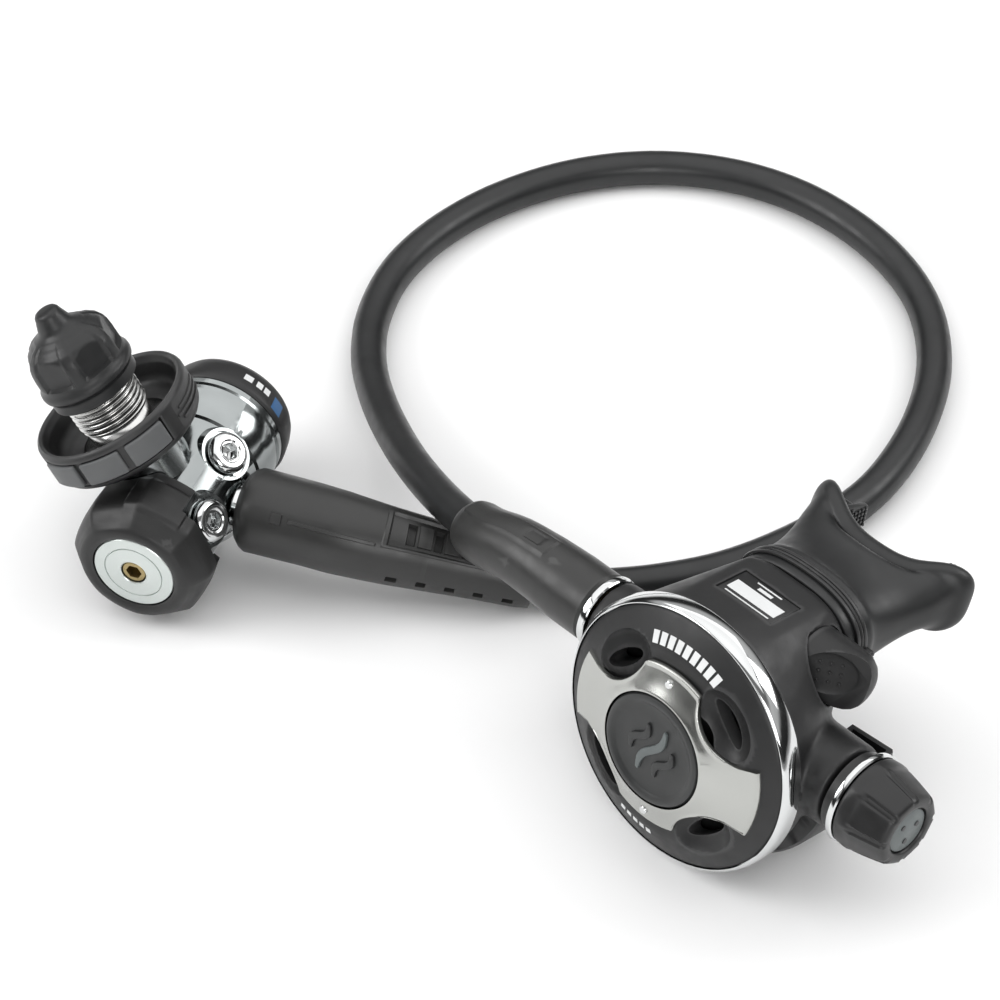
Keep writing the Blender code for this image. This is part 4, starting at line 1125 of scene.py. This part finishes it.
MOUTH_BORE = tuple((19.8, 12.8, 20, z) for z in (-20.4, -21, -22.6, -28.6, -30, -31.6)) + (
    (18.6, 11, 20.4, -34), (17.6, 10, 20.8, -36.5), (17, 9, 21.3, -39), (16.6, 7.6, 22.4, -43),
    (16.4, 6.6, 23.2, -47, 0.003), (16.2, 5.8, 23.9, -49.6, 0.006), (16.1, 5.4, 24.3, -51.2, 0.009),
    (16.2, 5.3, 24.6, -52.2, 0.009), (16.4, 5.4, 24.8, -53, 0.009), (16.7, 5.7, 24.8, -53.6, 0.009),
)
MOUTH_COUNT = 96


def mouth_ring(width, height, y, z, bow=0):
    return oval(width, height, y, z, count=MOUTH_COUNT, bow=bow)


def make_mouthpiece():
    outer = [mouth_ring(*row) for row in MOUTH_OUTSIDE] + [shield(*row) for row in MOUTH_SHIELD]
    inner = [mouth_ring(*row) for row in MOUTH_BORE]
    mouth = solid("mouthpiece_look", shell(outer, inner))
    change = mouth.modifiers.new("round", "SUBSURF")
    change.levels = 1
    bake(mouth)
    for side in (-1, 1):
        near, far = sorted((side * 16.6, side * 25.6))
        pad = soften(solid("bite_pad", block((near, 22.8, -71.2), (far, 26.2, -52))), 1.5, 30, 4)
        near, far = sorted((side * 16.4, side * 18.9))
        edge = ((19, -55), (31, -55), (31, -63), (28.4, -71.6), (21.6, -71.6), (19, -63))
        lug = solid("bite_lug", hull_of([(x, y, z) for x in (near, far) for y, z in edge]))
        join(mouth, pad, soften(lug, 1.2, 30, 4))
    piece(mouth, SECOND, "second_stage", SILICONE, ["mouthpiece"], sharp=60)
    for side, word in ((-1, "left"), (1, "right")):
        ribs = bmesh.new()
        spots = [(20.2 + 1.9 * column, 26.2, -58 - 1.7 * row) for row in range(7) for column in range(3)]
        spots += [(16.4, 25 + 1.5 * row, -57.2 - 1.6 * column) for column in range(9)
                  for row in range(-3, 4) if abs(row) < 4 - column // 5]
        for x, y, z in spots:
            bmesh.ops.create_cube(ribs, size=1, matrix=shift(side * x, y, z))
        piece(soften(solid("bite_grip_" + word, ribs), 0.25, 30, 2), SECOND, "second_stage", SILICONE)


def make_tie():
    """The tie that clamps the mouthpiece: three raised bands on a thin strap, with a ribbed head."""
    def rings(sizes, levels):
        return [mouth_ring(*size, TUBE_Y, z) for size, z in zip(sizes, levels)]

    within, strap, ridge = (22.75, 15.2), (23.2, 15.6), (23.3, 15.8)
    ends = (-23.9, -27.3)
    tie = solid("tie", shell(rings([strap] * 2, ends), rings([within] * 2, ends)))
    for low, high in ((-27.6, -26.4), (-26.1, -25.1), (-24.8, -23.6)):
        levels = (high, (low + high) / 2, low)
        join(tie, shell(rings((ridge, (23.5, 16), ridge), levels), rings([within] * 3, levels)))
    join(tie, soften(solid("tie_head", block((22.6, 16, -28.4), (25.6, 21.6, -22.8))), 0.5))
    for k in range(4):
        join(tie, block((25.3, 16.9 + 1.2 * k, -27.9), (26, 17.5 + 1.2 * k, -23.3)))
    piece(tie, SECOND, "second_stage", SOFT_PLASTIC, ["mouthpiece_tie"], sharp=40)


def make_inlet():
    ring = [(7, -2), (11, -2), (11.5, -1.6), (11.6, -1), (11.5, 0.2), (11.2, 0.6), (7, 0.6)]
    place = shift(x=-47.3) @ BARREL
    trim = solid("inlet_trim", turned(ring, 128), place)
    piece(trim, SECOND, "second_stage", CHROME, ["inlet_ring"], sharp=30)


# ---- carried-over parts

CARRIED = {
    STEEL: ("inlet_seat", "inlet_poppet", "inlet_poppet_spring", "thrust_pad", "main_spring",
            "spring_button", "orifice_seat", "demand_lever", "diaphragm_plate", "venturi_vane"),
    BRASS: ("diaphragm_clamp", "spring_adjuster", "din_filter", "valve_barrel", "adjusting_screw"),
    CHROME: ("din_retainer",),
    PLASTIC: ("demand_poppet",),
    SILICONE: ("main_diaphragm", "din_o_ring", "dust_cap_washer", "demand_diaphragm", "exhaust_valve"),
}


def finish_carried():
    for finish, names in CARRIED.items():
        for name in names:
            node = frame["nodes"][name]
            dress(node, finish)


def make_springs():
    """The two second-stage springs whose length a joint changes, copied from their CAD nodes and dressed in
    steel.
    """
    screw_way = JOINTS["screw_travel"]["axis"]
    springs = (
        ("purge_coil", "purge_spring", "purge_press", SECOND_WAY, (0, COVER_Y, 20.4), 0.12),
        ("demand_coil", "demand_spring", "screw_travel", screw_way, (11.8, 0, 0), 0.87),
    )
    for name, node, joint, way, foot, keep in springs:
        coil = added(name, frame["nodes"][node].data.copy())
        dress(coil, STEEL)
        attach(coil, "second_stage")
        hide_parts(node)
        tuple(way)
        tuple(SECOND @ (Vector(foot) * MM))
        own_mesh(coil)


# ---- floor and light

WHITE = (1, 1, 1)
# Each lamp's name, place from the camera's target, size and power.
LAMPS = (
    ("top", (0, 0.25, 1.3), 2.2, 18),
    ("left", (-1.1, -0.1, 0.7), 0.7, 7),
    ("right", (1.1, 0.1, 0.8), 0.6, 5),
    ("front", (0.1, -1.1, 0.55), 0.5, 4),
)
# How bright the room is from straight below, 0, through the horizon, 0.5, to straight above, 1.
ROOM = (
    (0, 0.9), (0.5, 0.5), (0.53, 0.03), (0.64, 0.05), (0.7, 0.75), (0.8, 0.9), (0.86, 0.22), (1, 0.5),
)


def make_floor():
    bpy.ops.mesh.primitive_plane_add(size=12, location=(0, 0, 0))
    floor = bpy.context.object
    floor.name = "floor"
    paper = bpy.data.materials.new("paper")
    paper.use_nodes = True
    shader = paper.node_tree.nodes["Principled BSDF"]
    shader.inputs["Base Color"].default_value = (0.93, 0.93, 0.93, 1)
    shader.inputs["Roughness"].default_value = 0.9
    floor.data.materials.append(paper)


def make_lamps():
    for name, spot, size, power in LAMPS:
        data = bpy.data.lights.new(name, "AREA")
        data.size = size
        data.energy = power
        lamp = added(name + "_light", data)
        lamp.location = CAMERA_TARGET + Vector(spot)
        lamp.rotation_euler = (-Vector(spot)).to_track_quat("-Z", "Y").to_euler()


def make_room():
    """Surroundings that are plain white to the camera, with a dark band to be mirrored in the metal."""
    world = bpy.data.worlds.new("studio")
    world.use_nodes = True
    tree = world.node_tree
    background = tree.nodes["Background"]
    background.inputs["Strength"].default_value = 0.7
    split = tree.nodes.new("ShaderNodeSeparateXYZ")
    tree.links.new(tree.nodes.new("ShaderNodeTexCoord").outputs["Generated"], split.inputs["Vector"])
    ramp = tree.nodes.new("ShaderNodeValToRGB")
    tree.links.new(ranged(tree, split.outputs["Z"], 0, 1, -1, 1), ramp.inputs["Fac"])
    elements = ramp.color_ramp.elements
    for position, _ in ROOM[1:-1]:
        elements.new(position)
    for element, (_, value) in zip(elements, ROOM):
        element.color = (value, value, value, 1)
    seen = tree.nodes.new("ShaderNodeLightPath").outputs["Is Camera Ray"]
    tree.links.new(mixed(tree, seen, ramp.outputs["Color"], WHITE), background.inputs["Color"])
    SCENE.world = world


make_camera()
make_hose()
make_protectors()
make_fittings()
make_body()
make_plugs()
make_boot()
make_end_disc()
make_diaphragm_end()
make_connector()
make_wheel()
make_cap()
make_case()
make_label()
make_trim()
make_bezel()
make_bezel_marks()
make_face_plate()
make_button()
make_knob()
make_lever()
make_exhaust()
make_mouthpiece()
make_tie()
make_inlet()
finish_carried()
make_springs()
make_floor()
make_lamps()
make_room()
SCENE.view_settings.view_transform = "Standard"
